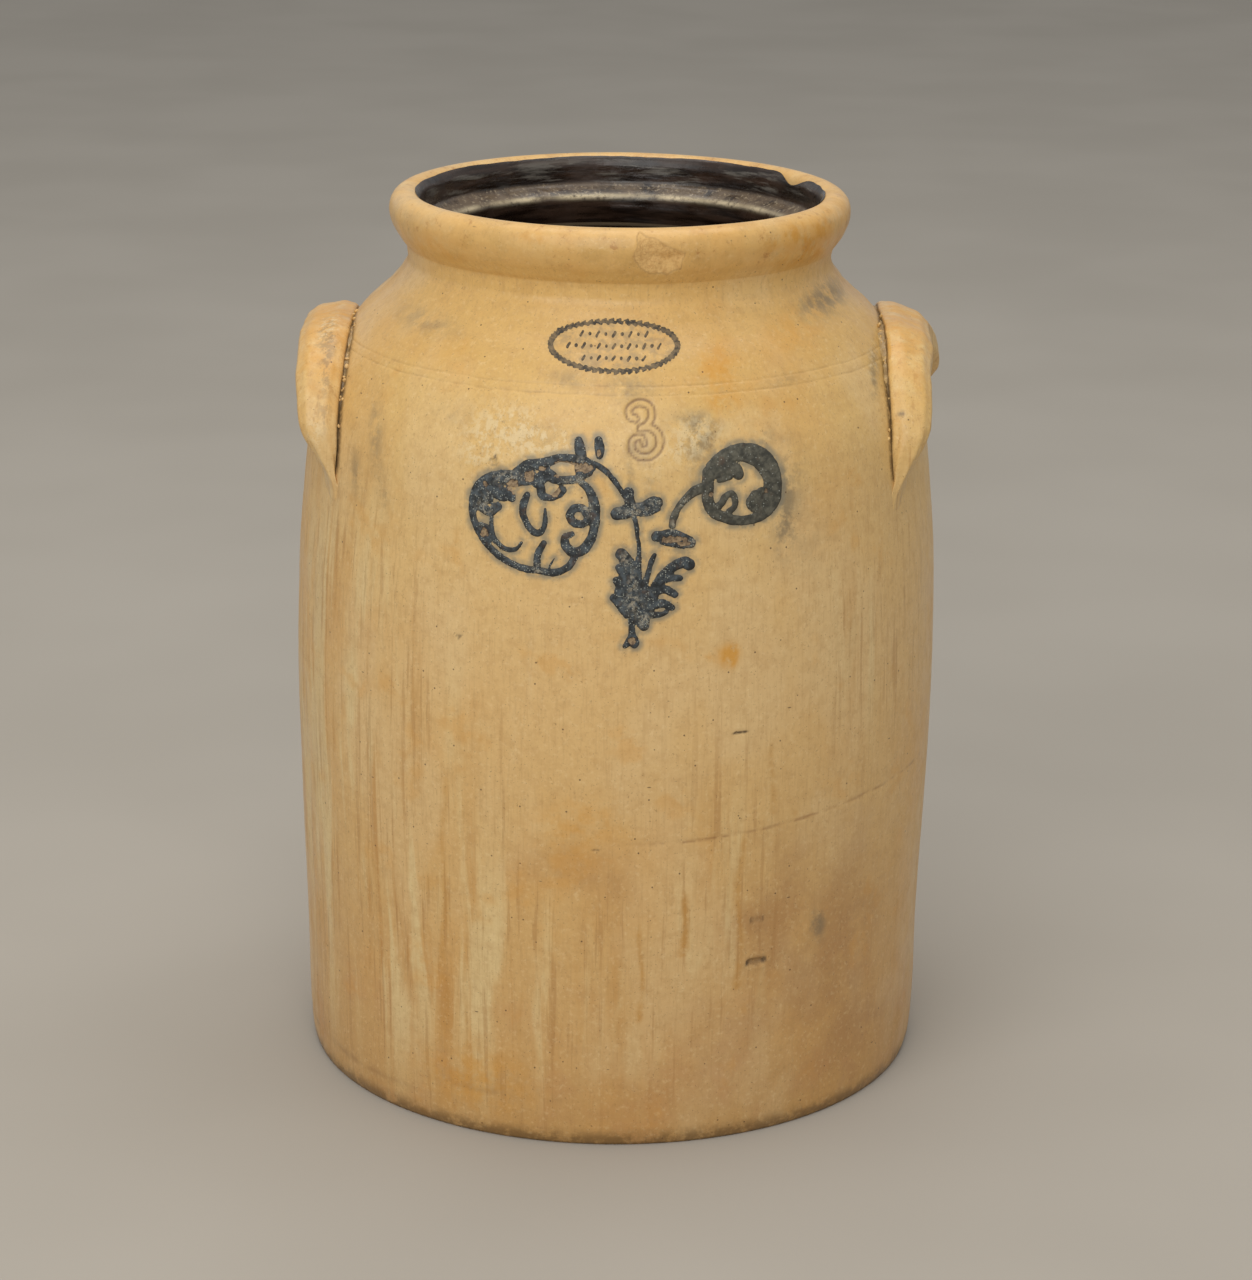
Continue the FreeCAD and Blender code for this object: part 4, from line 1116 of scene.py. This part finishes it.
def cobalt(name, base, light, crystal_share):
    """Matte blue-black slip with pale crystals, brown where it thins at the edge, tan where it is bare."""
    look = Recipe(name)
    look.colour = look.mix(look.patches((2.6, 4, 0.62), (0.36, 0.68)), paint(*base), paint(*light))
    rim = look.times(look.level(look.mask("depth"), 0.9, 0.1), look.patches((2.2,), (0.35, 0.6, 0.2, 0.9)))
    frost = look.math("MINIMUM", look.mask("frost"), 1)
    distance, pick = look.cells(0.62)
    share = look.math("ADD", look.times(frost, 0.55), crystal_share)
    share = look.times(share, look.patches((4.5, 3, 0.6), (0.36, 0.62, 0.25, 1.3)))
    kept = look.level(look.math("ADD", pick, share), 0.98, 1.04)
    grain = look.times(look.level(distance, 0.5, 0.28), kept)
    look.washes(
        (rim, 0.6, (50, 44, 34)),
        (look.patches((4.2, 3, 0.6), (0.57, 0.7)), 0.4, (96, 72, 54)),
        (grain, 0.62, (178, 180, 168)),
        (look.times(frost, look.patches((1.5, 4, 0.65), (0.44, 0.62))), 0.62, (184, 172, 148)),
    )
    bare = look.math("ADD", look.mask("bare"), look.patches((1.1, 3, 0.6), (0.3, 0.7, -0.2, 0.2)))
    tan = look.mix(look.patches((1.6, 3, 0.65), (0.38, 0.64)), paint(158, 134, 102), paint(112, 92, 70))
    look.colour = look.mix(look.level(bare, 0.42, 0.58), look.colour, tan)
    look.washes((look.times(look.level(bare, 0.1, 0.35), look.level(bare, 0.8, 0.55)), 0.75, (58, 42, 32)))
    look.bump(
        (look.noise(0.9, 3, 0.6), 0.2),
        (grain, 0.12),
        (look.level(bare, 0.4, 0.6, 1, 0), 0.18),
    )
    return look.finish(look.patches((2,), (0.35, 0.65, 0.4, 0.66)), 0.4)


def stamp_ink():
    """Blue-black stamp colour, soaked unevenly into the clay."""
    look = Recipe("stamp_colour")
    faded = look.patches((2.4, 4, 0.65), (0.36, 0.64))
    look.colour = look.mix(faded, paint(58, 53, 45), paint(124, 106, 78))
    worn = look.patches((0.9, 2), (0.52, 0.7, 0, 0.5))
    look.colour = look.mix(worn, look.colour, paint(150, 126, 92))
    look.bump((look.noise(1, 3, 0.6), 0.1))
    return look.finish(0.55, 0.35)


def studio_paper():
    """Pale warm grey seamless paper."""
    look = Recipe("studio_paper")
    tone = look.patches((240, 2), (0.3, 0.7))
    look.colour = look.mix(tone, paint(171, 164, 153), paint(176, 169, 158))
    return look.finish(0.9, 0.1)


# ---- assembly

glaze = stoneware("salt_glaze")
body = build_clay(glaze)
build_lining(brown_slip())
straps = [build_handle(name, glaze) for name in STRAPS]
for name in STRAPS:
    bed_strap(name, glaze)
for name in STRAPS:
    fill_crevice(name, glaze)


def soil_and_shade_crevices(wall, straps):
    """Dirt and painted crease shade on the wall along the inner edges of the straps."""
    edges = []
    for strap in straps:
        chosen = np.zeros(len(strap.data.vertices), dtype=np.float32)
        strap.data.attributes["inner_edge"].data.foreach_get("value", chosen)
        edges += [strap.data.vertices[i].co for i in np.nonzero(chosen > 0.5)[0]]
    tree = kdtree.KDTree(len(edges))
    for number, place in enumerate(edges):
        tree.insert(place, number)
    tree.balance()
    dirt_and_crease_shade = np.zeros(len(wall.data.vertices), dtype=np.float32)
    for vertex in wall.data.vertices:
        if 215 * MM < vertex.co.z < 305 * MM and abs(vertex.co.x) > 80 * MM:
            dirt_and_crease_shade[vertex.index] = 0.85 * rise(tree.find(vertex.co)[2] / MM, 3.6, 0.4)
    layer = wall.data.attributes.new("dirt_and_crease_shade", "FLOAT", "POINT")
    layer.data.foreach_set("value", dirt_and_crease_shade)


soil_and_shade_crevices(body, straps)

blue = cobalt("cobalt_speckled", (32, 36, 38), (78, 86, 90), 0.3)
black = cobalt("cobalt_smooth", (60, 59, 51), (98, 95, 82), 0.1)
for node, strokes in COBALT.items():
    smooth_brush = node in ("cobalt_small_bloom", "cobalt_right_stem")
    brush = black if smooth_brush else blue
    raised_coat(node.replace("cobalt_", "brushed_"), strokes, brush, COBALT_HEIGHT, node)
ink = stamp_ink()
raised_coat("stamped_oval", stamp_ring(), ink, STAMP_HEIGHT, "stamp_oval_border", 0.28)
raised_coat("stamped_beads", stamp_filling(), ink, STAMP_HEIGHT, "stamp_bead_rows", 0.22)

# ---- studio

# Floor in metres; camera in mm of the design and degrees.
FLOOR_HALF = 9.0
LAMP_TINT = (1.0, 0.985, 0.96)
CAMERA_PLACE = (4.61, -1304.3, 569.7)
CAMERA_PITCH = 17.41
CAMERA_ROLL = 0.564


def build_floor():
    """One flat quad of paper, in metres, under the jar."""
    corners = [(x * FLOOR_HALF, y * FLOOR_HALF, 0) for x, y in ((-1, -1), (1, -1), (1, 1), (-1, 1))]
    mesh = bpy.data.meshes.new("studio_floor")
    mesh.from_pydata(corners, [], [(0, 1, 2, 3)])
    mesh.materials.append(studio_paper())
    floor = bpy.data.objects.new("studio_floor", mesh)
    bpy.context.scene.collection.objects.link(floor)


def add_light(name, place, target, size, power):
    """Round soft light in metres and watts, turned to its target."""
    lamp = bpy.data.lights.new(name, "AREA")
    lamp.shape = "DISK"
    lamp.size = size
    lamp.energy = power
    lamp.color = LAMP_TINT
    holder = bpy.data.objects.new(name, lamp)
    holder.location = place
    holder.rotation_euler = (Vector(target) - Vector(place)).to_track_quat("-Z", "Y").to_euler()
    bpy.context.scene.collection.objects.link(holder)


def light_world(colour, strength):
    world = bpy.data.worlds.new("studio_air")
    world.use_nodes = True
    background = world.node_tree.nodes["Background"]
    background.inputs["Color"].default_value = (*colour, 1.0)
    background.inputs["Strength"].default_value = strength
    bpy.context.scene.world = world


def add_camera():
    """Long lens in front of the jar, a little to the right, looking down at it."""
    camera = bpy.data.cameras.new("camera")
    camera.lens = 97.69
    camera.sensor_width = 36.0
    camera.clip_end = 40.0
    holder = bpy.data.objects.new("camera", camera)
    pitch, roll = math.radians(CAMERA_PITCH), math.radians(CAMERA_ROLL)
    aim = Matrix.Rotation(math.radians(90) - pitch, 4, "X") @ Matrix.Rotation(roll, 4, "Z")
    holder.matrix_world = Matrix.Translation(Vector(CAMERA_PLACE) * MM) @ aim
    bpy.context.scene.collection.objects.link(holder)
    bpy.context.scene.camera = holder


build_floor()
add_light("overhead", (0.05, 0.25, 2.3), (0.0, 0.0, 0.1), 2.2, 21.5)
add_light("front", (-0.42, -1.45, 1.25), (0.0, -0.1, 0.1), 1.9, 18.0)
light_world((0.97, 0.985, 1.0), 0.47)
add_camera()
bpy.context.scene.view_settings.view_transform = "Standard"
